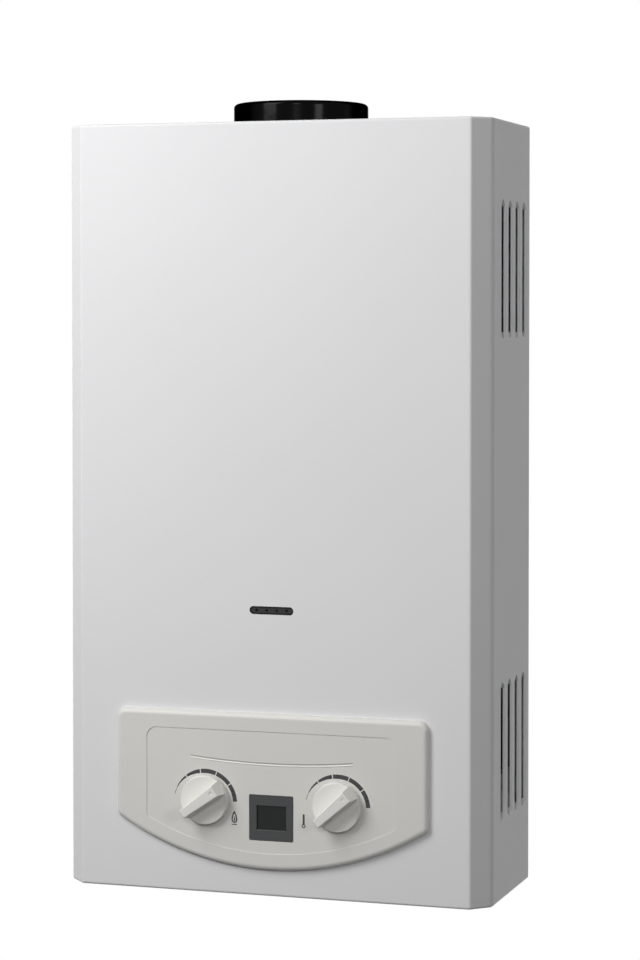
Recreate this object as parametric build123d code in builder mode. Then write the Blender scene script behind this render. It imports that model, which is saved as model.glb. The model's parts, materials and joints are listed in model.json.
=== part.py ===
from build123d import *

import math
import os

# A wall-hung gas water heater. All lengths are millimetres and all angles are degrees.
# X runs to the right, Y runs into the wall and Z runs up.
# The origin is on the wall, midway between the two hanging keyholes.

# Clearances and cuts
SLIP = 0.3
RUN = 0.05
OVERRUN = 2.0

# Case: the front cover wraps a shallow back pan that stands off behind it
CASE_W = 340.0
CASE_H = 590.0
COVER_D = 126.0
SLANT = 14.0
STANDOFF = 14.0
HANG_H = 545.0
SHEET = 0.8
BEND_R = 3.0
FLANK_BEND_R = 7.0
RIM_R = 2.0
LIP_SIDE = 16.0
LIP_FRONT = 8.0

# Pressed louvres in the cover's sides
LOUVRE_L = 105.0
LOUVRE_W = 12.0
LOUVRE_DEPTH = 3.0
LOUVRE_END_R = 6.0
LOUVRE_CORNER = 5.0
LOUVRE_ROLL_R = 1.5
LOUVRE_PITCH = 21.8
LOUVRE_COUNT = 4
LOUVRE_FIRST_D = 37.5
LOUVRE_LOW_H = 112.8
LOUVRE_HIGH_H = 477.5

# Sight window in the front
SIGHT_H = 218.3
SIGHT_SLOT_W = 35.2
SIGHT_SLOT_H = 6.2
SIGHT_HOLE_D = 2.2
SIGHT_HOLE_PITCH = 8.05
SIGHT_HOLE_COUNT = 4
SIGHT_PLATE_W = 52.0
SIGHT_PLATE_H = 16.0
SIGHT_PLATE_T = 1.0
MICA_W = 46.0
MICA_H = 12.0
MICA_T = 0.5

# Back pan
PAN_GAP = 7.0
PAN_RISE = 6.0
PAN_SHEET = 1.0
PAN_WALL_D = 42.0
SHELF_FRONT_ROOM = 64.0
KEYHOLE_PITCH = 160.0
KEYHOLE_D = 12.0
KEYSLOT_W = 6.4
KEYSLOT_L = 12.0
FIX_PITCH = 240.0
FIX_D = 6.5
FIX_H = 40.0
RIB_W = 14.0
RIB_DEPTH = 4.0
RIB_PITCH = 95.0
RIB_COUNT = 3
RIB_LOW_H = 110.0
RIB_HIGH_H = 405.0
COVER_SCREW_D = 4.0
COVER_SCREW_HEAD_D = 8.0
COVER_SCREW_HEAD_T = 2.5
COVER_SCREW_TIP = 3.0
COVER_SCREW_IN = 13.0
COVER_SCREW_WALL_D = 28.0

# Control fascia
FASCIA_W = 250.0
FASCIA_TOP_H = 140.0
FASCIA_SHOULDER_H = 57.0
FASCIA_BOTTOM_H = 20.5
FASCIA_D = 5.0
FASCIA_TOP_R = 8.0
FASCIA_LOW_R = 6.0
FASCIA_EDGE_R = 4.0
FASCIA_FACE_T = 3.0
FASCIA_SIDE_T = 2.2
PANEL_W = 200.0
PANEL_TOP_H = 126.5
PANEL_SHOULDER_H = 57.2
PANEL_BOTTOM_H = 33.2
PANEL_R = 8.0
PANEL_LOW_R = 4.0
PANEL_DEPTH = 0.5
GROOVE_HALF = 65.0
GROOVE_END_H = 105.6
GROOVE_MID_H = 102.2
GROOVE_W = 1.0
GROOVE_DEPTH = 0.4
BOSS_D = 8.0
BOSS_X = 108.0
BOSS_HIGH_H = 124.0
BOSS_LOW_H = 66.0
FASCIA_SCREW_D = 3.0
FASCIA_SCREW_L = 4.0
FASCIA_SCREW_HEAD_D = 10.0
FASCIA_SCREW_HEAD_T = 2.2

# Display in the fascia
DISPLAY_H = 60.7
BEZEL_W = 35.0
BEZEL_H = 34.5
BEZEL_T = 1.6
BEZEL_R = 1.2
LEDGE = 2.5
SCREEN_W = 23.4
SCREEN_H = 18.2
SCREEN_LAP = 1.4
SCREEN_T = 1.2
MODULE_W = 42.0
MODULE_H = 42.0
MODULE_D = 15.0
MODULE_R = 2.0
MODULE_ROOM = 1.0

# Knobs and their spindles
CONTROL_MID_X = 1.3
KNOB_PITCH = 106.0
KNOB_H = 72.5
KNOB_R = 19.4
KNOB_GAP = 0.6
KNOB_WALL = 1.6
SKIRT_T = 4.5
SKIRT_TAPER = 10.0
SKIRT_EDGE_R = 0.8
GRIP_T = 14.9
GRIP_TAPER = 6.0
GRIP_TAIL = 18.6
GRIP_HEAD = 18.4
GRIP_CREST = 15.4
GRIP_TAIL_W = 8.6
GRIP_HEAD_W = 11.4
GRIP_EDGE_R = 0.7
DOT_REACH = 12.0
DOT_D = 3.2
DOT_DEPTH = 0.6
HUB_D = 13.0
GAS_POINTER = 36.0
WATER_POINTER = 42.0
SPINDLE_D = 8.0
SPINDLE_FLAT = 2.6
SPINDLE_IN_KNOB = 10.0
SPINDLE_IN_BODY = 16.0
SPINDLE_HOLE_D = 13.0

# Flue collar and draught hood
COLLAR_D = 105.0
COLLAR_T = 1.2
COLLAR_RISE = 17.0
COLLAR_ROLL_R = 3.2
COLLAR_BEAD = 2.4
COLLAR_BEAD_T = 2.0
NOTCH_GAP = 2.0
HOOD_DROP = 16.0
HOOD_FRONT_GAP = 13.0
HOOD_LAP = 6.0
HOOD_FLARE = 12.0
HOOD_NECK_HALF = 72.0
HOOD_SKIRT_H = 42.0
HOOD_NECK_H = 24.0
THERMOSTAT_D = 16.0
THERMOSTAT_T = 6.0
THERMOSTAT_RIM = 2.0
THERMOSTAT_RIM_T = 1.2
TERMINAL_W = 6.0
TERMINAL_L = 3.0
TERMINAL_T = 0.8
SPILL_X = 45.0
SPILL_H = 470.0

# Burner
BURNER_FLOOR_H = 150.0
BURNER_H = 57.0
BURNER_SHEET = 1.0
BURNER_LEDGE = 7.0
BLADE_COUNT = 10
BLADE_SIDE_ROOM = 8.5
BLADE_T = 9.0
BLADE_HEAD_T = 13.0
BLADE_HEAD_H = 16.0
BLADE_H = 50.0
BLADE_WALL = 1.0
BLADE_CROWN_R = 2.5
BLADE_MOUTH_D = 6.4
BLADE_MOUTH_H = 14.0
PORT_COUNT = 7
PORT_END_ROOM = 11.2
PORT_W = 2.0
MANIFOLD_END_ROOM = 3.0
MANIFOLD_D = 11.0
MANIFOLD_H = 15.0
MANIFOLD_R = 4.0
MANIFOLD_GAP = 7.0
MANIFOLD_FRONT_ROOM = 5.2
MANIFOLD_LUG_W = 8.0
MANIFOLD_LUG_H = 9.0
INJECTOR_D = 5.0
INJECTOR_HEX = 7.0
INJECTOR_HEX_T = 3.0
INJECTOR_ROOM = 1.5
RISER_D = 12.0
RISER_BEND = 14.0
RISER_TURN = 22.0
BRACKET_X = 58.0
BRACKET_FOOT = 14.0
BRACKET_T = 1.2
BRACKET_W = 18.0
BURNER_BRACKET_RISE = 30.0

# Heat exchanger
SHELL_SIDE_ROOM = 64.0
SHELL_REAR_ROOM = 6.0
SHELL_H = 223.0
SHELL_T = 0.8
SHELL_BRACKET_RISE = 138.0
FIN_COUNT = 12
FIN_SIDE_ROOM = 13.95
FIN_T = 1.0
FIN_H = 62.0
FIN_DROP = 2.0
TUBE_D = 12.0
TUBE_COUNT = 4
TUBE_OUT = 16.0
COIL_GAP = 1.3
COIL_START_H = 238.0
COIL_RISE = 16.0
COIL_SIDE_RISE = 8.0
COIL_LINK_TURN = 24.0
COIL_LINK_BEND = 9.0
HOT_LEAD = 0.5
HOT_TURN_H = 110.0
HOT_BEND = 16.0
OVERHEAT_H = 250.0

# Spark and flame electrodes
ELECTRODE_SIDE_ROOM = 36.0
ELECTRODE_PITCH = 22.0
ELECTRODE_RISE = 9.0
ELECTRODE_WIRE_D = 1.8
ELECTRODE_WIRE_L = 34.0
INSULATOR_D = 6.0
INSULATOR_L = 20.0
INSULATOR_IN = 5.0
ELECTRODE_PLATE_W = 44.0
ELECTRODE_PLATE_H = 14.0
ELECTRODE_PLATE_T = 1.2

# Gas valve
VALVE_FRONT_ROOM = 64.0
GAS_BARREL_D = 46.0
GAS_LEFT = 26.0
GAS_RIGHT = 33.0
GAS_FLANGE_D = 52.0
GAS_FLANGE_T = 5.0
NECK_D = 26.0
SPINDLE_BOSS_D = 22.0
SPINDLE_BOSS_L = 36.0
VALVE_OUT_D = 20.0
VALVE_OUT_L = 28.0
CAST_R = 1.5
SOLENOID_D = 30.0
SOLENOID_L = 22.0
SOLENOID_NOSE_D = 14.0
SOLENOID_NOSE_L = 3.0

# Water valve
WATER_FLANGE_LEFT = 20.0
WATER_FLANGE_T = 9.0
CAP_D = 64.0
CAP_T = 10.0
CAP_DOME_D = 44.0
CAP_DOME_T = 3.0
NOSE_D = 16.0
NOSE_L = 6.0
DIAPHRAGM_T = 1.6
WATER_BARREL_D = 40.0
WATER_RIGHT = 38.0
WATER_OUT_X = 22.0
CAP_SCREW_COUNT = 6
CAP_SCREW_RING_R = 27.5
CAP_SCREW_D = 7.0
CAP_SCREW_T = 3.0
DRAIN_X = 24.0
DRAIN_BOSS_D = 16.0
DRAIN_BOSS_L = 8.0
DRAIN_SHANK_D = 9.0
DRAIN_SHANK_L = 10.0
DRAIN_DISC_T = 4.0
DRAIN_WING_W = 4.0
DRAIN_WING_L = 14.0
DRAIN_WING_T = 9.0

# Push rod and the switch that it works
ROD_D = 6.0
ROD_IN = 9.0
ROD_TRAVEL = 4.0
ROD_DISC_D = 16.0
ROD_DISC_T = 2.5
LEVER_X = 7.0
LEVER_ARM = 12.5
LEVER_RISE = 17.0
LEVER_T = 0.8
LEVER_W = 4.0
LEVER_EYE_R = 1.4
LEVER_PIN_R = 0.7
SWITCH_W = 14.0
SWITCH_H = 10.0
SWITCH_D = 6.4
SWITCH_EAR_T = 1.0
SWITCH_ROOM = 0.5
SWITCH_BRACKET_T = 1.2
SWITCH_BRACKET_W = 10.0
SWITCH_FOOT = 7.0

# Pipe fittings through the pan's shelf
PIPE_WALL_D = 48.0
HOT_SIDE_ROOM = 40.0
THREAD_D = 20.955
THREAD_L = 14.0
FITTING_HEX = 27.0
FITTING_HEX_T = 6.0
FITTING_SHANK_D = 18.0
FITTING_SHANK_TOP = 2.0
FITTING_BORE_D = 12.0
LOCKNUT_HEX = 27.0
LOCKNUT_T = 5.0

# Electronics and batteries
CONTROL_W = 44.0
CONTROL_D = 40.0
CONTROL_H = 90.0
CONTROL_BASE_H = 90.0
CONTROL_SIDE_GAP = 4.0
CONTROL_R = 3.0
CONTROL_SOCKET_W = 26.0
CONTROL_SOCKET_D = 12.0
CONTROL_SOCKET_H = 8.0
BATTERY_D = 33.0
BATTERY_L = 58.0
BATTERY_NIB_D = 9.0
BATTERY_NIB_T = 1.5
BATTERY_GAP = 1.0
CONTACT_T = 0.8
BOX_SIDE_ROOM = 54.0
BOX_FRONT_ROOM = 29.0
BOX_T = 2.0
BOX_FOOT_H = 3.2
BOX_TAB_W = 34.0
BOX_TAB_L = 26.0
BOX_TAB_T = 2.0
LID_T = 2.5
LID_GAP = 0.5
LID_PLAY = 0.4
HINGE_R = 2.5
HINGE_PIN_R = 1.0
HINGE_BACK = 2.8
HINGE_EAR_T = 3.0
HINGE_EAR_X = 28.0
LID_GRIP_W = 20.0
LID_GRIP_D = 3.0
LID_GRIP_T = 1.0

# Places worked out from the sizes above
CASE_HALF = CASE_W / 2
FRONT_Y = -(STANDOFF + COVER_D)
REAR_Y = -STANDOFF
INSIDE_Y = FRONT_Y + SHEET
BASE_Z = -HANG_H
TOP_Z = BASE_Z + CASE_H
FRONT_W = CASE_W - 2 * SLANT
PAN_HALF = CASE_HALF - PAN_GAP
FACE_Y = FRONT_Y - FASCIA_D + PANEL_DEPTH
FASCIA_BACK_Y = FRONT_Y - FASCIA_D + FASCIA_FACE_T
GAS_X = CONTROL_MID_X - KNOB_PITCH / 2
WATER_X = CONTROL_MID_X + KNOB_PITCH / 2
VALVE_Y = FRONT_Y + VALVE_FRONT_ROOM
PIPE_Y = -PIPE_WALL_D
HOOD_TOP_H = CASE_H - HOOD_DROP
SHELL_BASE_H = BURNER_FLOOR_H + BURNER_H
SHELL_TOP_H = SHELL_BASE_H + SHELL_H
SHELL_W = CASE_W - 2 * SHELL_SIDE_ROOM
SHELL_HALF = SHELL_W / 2
SHELL_FRONT_Y = INSIDE_Y + MANIFOLD_FRONT_ROOM + MANIFOLD_D + MANIFOLD_GAP
SHELL_REAR_Y = REAR_Y - SHELL_REAR_ROOM
SHELL_D = SHELL_REAR_Y - SHELL_FRONT_Y
FLUE_Y = (SHELL_FRONT_Y + SHELL_REAR_Y) / 2
HOOD_HALF = SHELL_HALF + HOOD_FLARE
SHELF_FRONT_Y = FRONT_Y + SHELF_FRONT_ROOM
HOT_X = HOT_SIDE_ROOM - CASE_HALF
BOX_X = BOX_SIDE_ROOM - CASE_HALF
ELECTRODE_X = SHELL_HALF - ELECTRODE_SIDE_ROOM
SHELF_TOP_H = PAN_RISE + PAN_SHEET
FITTING_TOP_H = SHELF_TOP_H + LOCKNUT_T + FITTING_SHANK_TOP
VALVE_OUT_H = KNOB_H + VALVE_OUT_L
GAS_END_X = GAS_X + GAS_RIGHT
WATER_FLANGE_X = WATER_X - WATER_FLANGE_LEFT
CAP_X = WATER_FLANGE_X - DIAPHRAGM_T - CAP_T
NOSE_X = CAP_X - NOSE_L
WATER_OUTLET_X = WATER_X + WATER_OUT_X
DRAIN_PLACE_X = WATER_X + DRAIN_X
LEVER_H = KNOB_H + LEVER_RISE
KNOB_PLACES = ((GAS_X, KNOB_H), (WATER_X, KNOB_H))
BOSS_PLACES = ((-BOSS_X, BOSS_HIGH_H), (BOSS_X, BOSS_HIGH_H), (-BOSS_X, BOSS_LOW_H), (BOSS_X, BOSS_LOW_H))
FITTING_PLACES = ((HOT_X, PIPE_Y), (GAS_X, PIPE_Y), (WATER_X, PIPE_Y))


def up(height):
    """Z of a height above the case bottom."""
    return BASE_Z + height


def level(height):
    """Level plane at a height above the case bottom."""
    return Plane.XY.offset(up(height))


def upright(y):
    """Upright plane facing the front, where a sketch reads X and Z."""
    return Plane.XZ.offset(-y)


def seen_from_front(places):
    """Sketch places on an upright plane from X and heights above the case bottom."""
    return [(x, up(height)) for x, height in places]


def post(x, y, low, high, diameter):
    """Upright cylinder between two heights above the case bottom."""
    with BuildPart() as column:
        with BuildSketch(level(low)):
            with Locations((x, y)):
                Circle(diameter / 2)
        extrude(amount=high - low)
    return column.part


def barrel(start_x, end_x, diameter):
    """Cylinder along X on the valves' common axis."""
    with BuildPart() as column:
        with BuildSketch(Plane.YZ.offset(start_x)):
            with Locations((VALVE_Y, up(KNOB_H))):
                Circle(diameter / 2)
        extrude(amount=end_x - start_x)
    return column.part


def pipe(points, bend, diameter):
    """Round pipe along straight runs joined by bends."""
    with BuildPart() as run:
        with BuildLine():
            route = FilletPolyline(*points, radius=bend)
        with BuildSketch(Plane(origin=route @ 0, z_dir=route % 0)):
            Circle(diameter / 2)
        sweep()
    return run.part


def finish(piece, name):
    """Name a finished piece and write it."""
    piece.part.label = name
    export_step(piece.part, f"parts/{name}.step")


os.makedirs("parts", exist_ok=True)


# Front cover


def case_outline(inset):
    """Plan of the case, drawn inside its outer faces by the inset."""
    with BuildSketch() as plan:
        with BuildLine():
            Polyline(
                (-CASE_HALF, REAR_Y),
                (-CASE_HALF, FRONT_Y + SLANT),
                (-FRONT_W / 2, FRONT_Y),
                (FRONT_W / 2, FRONT_Y),
                (CASE_HALF, FRONT_Y + SLANT),
                (CASE_HALF, REAR_Y),
                close=True,
            )
        make_face()
        fillet(plan.vertices().group_by(Axis.Y)[0], BEND_R)
        fillet(plan.vertices().group_by(Axis.Y)[-2], FLANK_BEND_R)
        if inset:
            offset(amount=-inset)
    return plan.sketch


def case_block(inset):
    """Solid case with rolled top and bottom rims, inside the outer faces by the inset."""
    outline = case_outline(inset)
    with BuildPart() as block:
        with BuildSketch(Plane.XY.offset(BASE_Z + inset)):
            add(outline)
        extrude(amount=CASE_H - 2 * inset)
        rims = block.faces().sort_by(Axis.Z)
        top_rim = rims[-1].edges().sort_by(Axis.Y)[:-1]
        bottom_rim = rims[0].edges().sort_by(Axis.Y)[:-1]
        fillet(top_rim + bottom_rim, RIM_R - inset)
    return block.part


def louvre_form(skin, outer_x):
    """Hollow of one louvre in the right wall, grown by a skin, deepest at its mouth at Y 0."""
    growth = 1 + skin * math.hypot(1 / LOUVRE_DEPTH, 1 / LOUVRE_W)
    depth = growth * LOUVRE_DEPTH
    reach = growth * LOUVRE_W * (1 + (outer_x - CASE_HALF) / depth)
    width = LOUVRE_W + skin
    half = LOUVRE_L / 2 + skin
    corner = LOUVRE_CORNER - skin * (math.sqrt(2) - 1)
    with BuildPart() as form:
        with BuildSketch(Plane.XY.offset(-half)):
            with BuildLine():
                Polyline((outer_x, 0), (CASE_HALF - depth, 0), (outer_x, -reach), close=True)
            make_face()
        extrude(amount=2 * half)
        with BuildSketch(Plane.YZ.offset(CASE_HALF - depth)) as plan:
            with Locations((-width / 2, 0)):
                Rectangle(width, 2 * half)
            fillet(plan.vertices().group_by(Axis.X)[0], LOUVRE_END_R + skin)
            chamfer(plan.vertices().group_by(Axis.X)[-1], corner)
        extrude(amount=depth + OVERRUN, mode=Mode.INTERSECT)
    return form.part


LIP_HALF = LOUVRE_L / 2 - LOUVRE_CORNER
louvre_hollow = louvre_form(0, CASE_HALF + OVERRUN)
louvre_skin = louvre_form(SHEET, CASE_HALF - SHEET / 2)
louvre_places = [
    (0, FRONT_Y + LOUVRE_FIRST_D + LOUVRE_W + index * LOUVRE_PITCH, up(height))
    for height in (LOUVRE_LOW_H, LOUVRE_HIGH_H)
    for index in range(LOUVRE_COUNT)
]

with BuildPart() as louvre_cut:
    add(louvre_hollow)
    with BuildSketch(Plane.XY.offset(-LIP_HALF)):
        with Locations((CASE_HALF - LOUVRE_ROLL_R, 0)):
            Rectangle(LOUVRE_ROLL_R + OVERRUN, LOUVRE_ROLL_R, align=(Align.MIN, Align.MIN))
    extrude(amount=2 * LIP_HALF)

with BuildPart() as louvre_scoop:
    add(louvre_skin)
    add(louvre_hollow, mode=Mode.SUBTRACT)
    # Edge of the wall, rolled inwards over the mouth
    with BuildSketch(Plane.XY.offset(-LIP_HALF)):
        with BuildLine():
            CenterArc((CASE_HALF - LOUVRE_ROLL_R, LOUVRE_ROLL_R), LOUVRE_ROLL_R - SHEET / 2, -90, 90)
        trace(line_width=SHEET)
    extrude(amount=2 * LIP_HALF)

left_cut = mirror(louvre_cut.part, about=Plane.YZ)
left_scoop = mirror(louvre_scoop.part, about=Plane.YZ)
cover_outside = case_block(0)
cover_inside = case_block(SHEET)

with BuildPart() as front_cover:
    add(cover_outside)
    add(cover_inside, mode=Mode.SUBTRACT)
    # Rear opening that the pan fills
    with BuildSketch(upright(REAR_Y + OVERRUN)):
        with Locations((0, up(CASE_H / 2))):
            Rectangle(2 * (PAN_HALF + SLIP), CASE_H - 2 * (PAN_RISE - SLIP))
    extrude(amount=SHEET + 2 * OVERRUN, mode=Mode.SUBTRACT)
    # Open bottom with a lip at the front and sides
    with BuildSketch(level(-OVERRUN)):
        with Locations((0, (FRONT_Y + LIP_FRONT + REAR_Y + OVERRUN) / 2)):
            Rectangle(CASE_W - 2 * LIP_SIDE, COVER_D - LIP_FRONT + OVERRUN)
    extrude(amount=PAN_RISE + OVERRUN, mode=Mode.SUBTRACT)
    # Notch in the top, open to the rear, so that the cover draws off round the collar
    with BuildSketch(level(CASE_H - PAN_RISE)):
        with Locations((0, FLUE_Y)):
            Circle(COLLAR_D / 2 + NOTCH_GAP)
        with Locations((0, (FLUE_Y + REAR_Y + OVERRUN) / 2)):
            Rectangle(COLLAR_D + 2 * NOTCH_GAP, REAR_Y + OVERRUN - FLUE_Y)
    extrude(amount=PAN_RISE + OVERRUN, mode=Mode.SUBTRACT)
    # Sight slot, and the openings that the fascia hides
    with BuildSketch(upright(INSIDE_Y + OVERRUN)):
        with Locations((0, up(SIGHT_H))):
            SlotOverall(SIGHT_SLOT_W, SIGHT_SLOT_H)
        with Locations((CONTROL_MID_X, up(DISPLAY_H))):
            Rectangle(MODULE_W + 2 * MODULE_ROOM, MODULE_H + 2 * MODULE_ROOM)
        with Locations(*seen_from_front(KNOB_PLACES)):
            Circle(SPINDLE_HOLE_D / 2)
        with Locations(*seen_from_front(BOSS_PLACES)):
            Circle(BOSS_D / 2 + SLIP)
    extrude(amount=SHEET + 2 * OVERRUN, mode=Mode.SUBTRACT)
    # Holes for the two screws in the bottom lip
    with BuildSketch(level(-OVERRUN)):
        for side in (-1, 1):
            with Locations((side * (CASE_HALF - COVER_SCREW_IN), -COVER_SCREW_WALL_D)):
                Circle(COVER_SCREW_D / 2 + SLIP)
    extrude(amount=PAN_RISE + OVERRUN, mode=Mode.SUBTRACT)
    # Louvres
    with Locations(*louvre_places):
        add(louvre_cut.part, mode=Mode.SUBTRACT)
        add(left_cut, mode=Mode.SUBTRACT)
        add(louvre_scoop.part)
        add(left_scoop)
finish(front_cover, "front_cover")

with BuildPart() as cover_screws:
    for side in (-1, 1):
        with BuildSketch(level(-COVER_SCREW_HEAD_T)):
            with Locations((side * (CASE_HALF - COVER_SCREW_IN), -COVER_SCREW_WALL_D)):
                Circle(COVER_SCREW_HEAD_D / 2)
        extrude(amount=COVER_SCREW_HEAD_T)
        with BuildSketch(level(0)):
            with Locations((side * (CASE_HALF - COVER_SCREW_IN), -COVER_SCREW_WALL_D)):
                Circle(COVER_SCREW_D / 2)
        extrude(amount=SHELF_TOP_H + COVER_SCREW_TIP)
finish(cover_screws, "cover_screws")


# Sight window behind the slot

with BuildPart() as sight_plate:
    with BuildSketch(upright(INSIDE_Y + SIGHT_PLATE_T)):
        with Locations((0, up(SIGHT_H))):
            Rectangle(SIGHT_PLATE_W, SIGHT_PLATE_H)
            with GridLocations(SIGHT_HOLE_PITCH, 0, SIGHT_HOLE_COUNT, 1):
                Circle(SIGHT_HOLE_D / 2, mode=Mode.SUBTRACT)
    extrude(amount=SIGHT_PLATE_T)
finish(sight_plate, "sight_plate")

with BuildPart() as sight_mica:
    with BuildSketch(upright(INSIDE_Y + SIGHT_PLATE_T + MICA_T)):
        with Locations((0, up(SIGHT_H))):
            Rectangle(MICA_W, MICA_H)
    extrude(amount=MICA_T)
finish(sight_mica, "sight_mica")


# Back pan

with BuildPart() as back_pan:
    with BuildSketch(upright(0)):
        with Locations((0, up(CASE_H / 2))):
            Rectangle(2 * PAN_HALF, CASE_H - 2 * PAN_RISE)
    extrude(amount=PAN_WALL_D)
    fillet(back_pan.edges().group_by(Axis.Y)[-1], RIM_R)
    with BuildSketch(upright(-PAN_SHEET)):
        with Locations((0, up(CASE_H / 2))):
            Rectangle(2 * (PAN_HALF - PAN_SHEET), CASE_H - 2 * (PAN_RISE + PAN_SHEET))
    extrude(amount=PAN_WALL_D, mode=Mode.SUBTRACT)
    # Shelf that carries the fittings
    with BuildSketch(level(PAN_RISE)):
        with Locations((0, (SHELF_FRONT_Y - PAN_WALL_D) / 2)):
            Rectangle(2 * (PAN_HALF - RIM_R), -SHELF_FRONT_Y - PAN_WALL_D)
    extrude(amount=PAN_SHEET)
    with BuildSketch(level(PAN_RISE)):
        with Locations(*FITTING_PLACES):
            Circle(FITTING_SHANK_D / 2 + SLIP)
        for side in (-1, 1):
            with Locations((side * (CASE_HALF - COVER_SCREW_IN), -COVER_SCREW_WALL_D)):
                Circle(COVER_SCREW_D / 2 + RUN)
    extrude(amount=PAN_SHEET, mode=Mode.SUBTRACT)
    # Room for the flue collar in the top wall
    with BuildSketch(level(CASE_H - PAN_RISE - 2 * PAN_SHEET)):
        with Locations((0, FLUE_Y)):
            Circle(COLLAR_D / 2 + NOTCH_GAP)
    extrude(amount=PAN_RISE, mode=Mode.SUBTRACT)
    # Stiffening ribs pressed forward out of the back
    with BuildSketch(upright(0)):
        with Locations((0, up((RIB_LOW_H + RIB_HIGH_H) / 2))):
            with GridLocations(RIB_PITCH, 0, RIB_COUNT, 1):
                SlotOverall(RIB_HIGH_H - RIB_LOW_H + 2 * PAN_SHEET, RIB_W + 2 * PAN_SHEET, rotation=90)
    extrude(amount=RIB_DEPTH + PAN_SHEET)
    with BuildSketch(upright(OVERRUN)):
        with Locations((0, up((RIB_LOW_H + RIB_HIGH_H) / 2))):
            with GridLocations(RIB_PITCH, 0, RIB_COUNT, 1):
                SlotOverall(RIB_HIGH_H - RIB_LOW_H, RIB_W, rotation=90)
    extrude(amount=RIB_DEPTH + OVERRUN, mode=Mode.SUBTRACT)
    # Keyholes at the top and plain screw holes at the bottom
    with BuildSketch(upright(OVERRUN)):
        with GridLocations(KEYHOLE_PITCH, 0, 2, 1):
            Circle(KEYHOLE_D / 2)
        with Locations((0, KEYSLOT_L / 2)):
            with GridLocations(KEYHOLE_PITCH, 0, 2, 1):
                SlotOverall(KEYSLOT_L + KEYSLOT_W, KEYSLOT_W, rotation=90)
        with Locations((0, up(FIX_H))):
            with GridLocations(FIX_PITCH, 0, 2, 1):
                Circle(FIX_D / 2)
    extrude(amount=PAN_SHEET + 2 * OVERRUN, mode=Mode.SUBTRACT)
finish(back_pan, "back_pan")


# Control fascia


def bowed_outline(width, top_h, shoulder_h, bottom_h, top_r, low_r):
    """Plate with a straight top and sides and a bowed bottom, drawn on X and Z."""
    with BuildSketch() as plan:
        with BuildLine():
            Polyline(
                (-width / 2, up(shoulder_h)),
                (-width / 2, up(top_h)),
                (width / 2, up(top_h)),
                (width / 2, up(shoulder_h)),
            )
            ThreePointArc((width / 2, up(shoulder_h)), (0, up(bottom_h)), (-width / 2, up(shoulder_h)))
        make_face()
        fillet(plan.vertices().group_by(Axis.Y)[0], low_r)
        fillet(plan.vertices().group_by(Axis.Y)[-1], top_r)
    return plan.sketch


fascia_plan = bowed_outline(
    FASCIA_W, FASCIA_TOP_H, FASCIA_SHOULDER_H, FASCIA_BOTTOM_H, FASCIA_TOP_R, FASCIA_LOW_R
)
panel_plan = bowed_outline(
    PANEL_W, PANEL_TOP_H, PANEL_SHOULDER_H, PANEL_BOTTOM_H, PANEL_R, PANEL_LOW_R
)

with BuildPart() as control_fascia:
    with BuildSketch(upright(FRONT_Y)):
        add(fascia_plan)
    extrude(amount=FASCIA_D)
    fillet(control_fascia.faces().sort_by(Axis.Y)[0].edges(), FASCIA_EDGE_R)
    # Hollow back
    with BuildSketch(upright(FRONT_Y)):
        add(fascia_plan)
        offset(amount=-FASCIA_SIDE_T)
    extrude(amount=FASCIA_D - FASCIA_FACE_T, mode=Mode.SUBTRACT)
    # Screw bosses that pass through the cover
    with BuildSketch(upright(INSIDE_Y)):
        with Locations(*seen_from_front(BOSS_PLACES)):
            Circle(BOSS_D / 2)
    extrude(amount=INSIDE_Y - FASCIA_BACK_Y)
    with BuildSketch(upright(INSIDE_Y)):
        with Locations(*seen_from_front(BOSS_PLACES)):
            Circle(FASCIA_SCREW_D / 2 + RUN)
    extrude(amount=FASCIA_SCREW_L + SLIP, mode=Mode.SUBTRACT)
    # Shallow panel that the controls stand on, with a bowed groove above them
    with BuildSketch(upright(FACE_Y)):
        add(panel_plan)
    extrude(amount=PANEL_DEPTH + OVERRUN, mode=Mode.SUBTRACT)
    with BuildSketch(upright(FACE_Y + GROOVE_DEPTH)):
        with BuildLine():
            ThreePointArc(
                (CONTROL_MID_X - GROOVE_HALF, up(GROOVE_END_H)),
                (CONTROL_MID_X, up(GROOVE_MID_H)),
                (CONTROL_MID_X + GROOVE_HALF, up(GROOVE_END_H)),
            )
        trace(line_width=GROOVE_W)
    extrude(amount=GROOVE_DEPTH + OVERRUN, mode=Mode.SUBTRACT)
    # Seat of the display bezel, the opening behind it and the spindle holes
    with BuildSketch(upright(FACE_Y + BEZEL_T)) as bezel_seat:
        with Locations((CONTROL_MID_X, up(DISPLAY_H))):
            RectangleRounded(BEZEL_W + 2 * SLIP, BEZEL_H + 2 * SLIP, BEZEL_R + SLIP)
    extrude(amount=BEZEL_T + OVERRUN, mode=Mode.SUBTRACT)
    with BuildSketch(upright(FASCIA_BACK_Y + OVERRUN)):
        with Locations((CONTROL_MID_X, up(DISPLAY_H))):
            Rectangle(BEZEL_W - 2 * LEDGE, BEZEL_H - 2 * LEDGE)
        with Locations(*seen_from_front(KNOB_PLACES)):
            Circle(SPINDLE_HOLE_D / 2)
    extrude(amount=FASCIA_D + 2 * OVERRUN, mode=Mode.SUBTRACT)
finish(control_fascia, "control_fascia")

with BuildPart() as fascia_screws:
    with BuildSketch(upright(INSIDE_Y + FASCIA_SCREW_HEAD_T)):
        with Locations(*seen_from_front(BOSS_PLACES)):
            Circle(FASCIA_SCREW_HEAD_D / 2)
    extrude(amount=FASCIA_SCREW_HEAD_T)
    with BuildSketch(upright(INSIDE_Y)):
        with Locations(*seen_from_front(BOSS_PLACES)):
            Circle(FASCIA_SCREW_D / 2)
    extrude(amount=FASCIA_SCREW_L)
finish(fascia_screws, "fascia_screws")


# Display: a dark bezel, the screen behind its window and the module behind that

SCREEN_Y = FACE_Y + BEZEL_T + SCREEN_T

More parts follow.
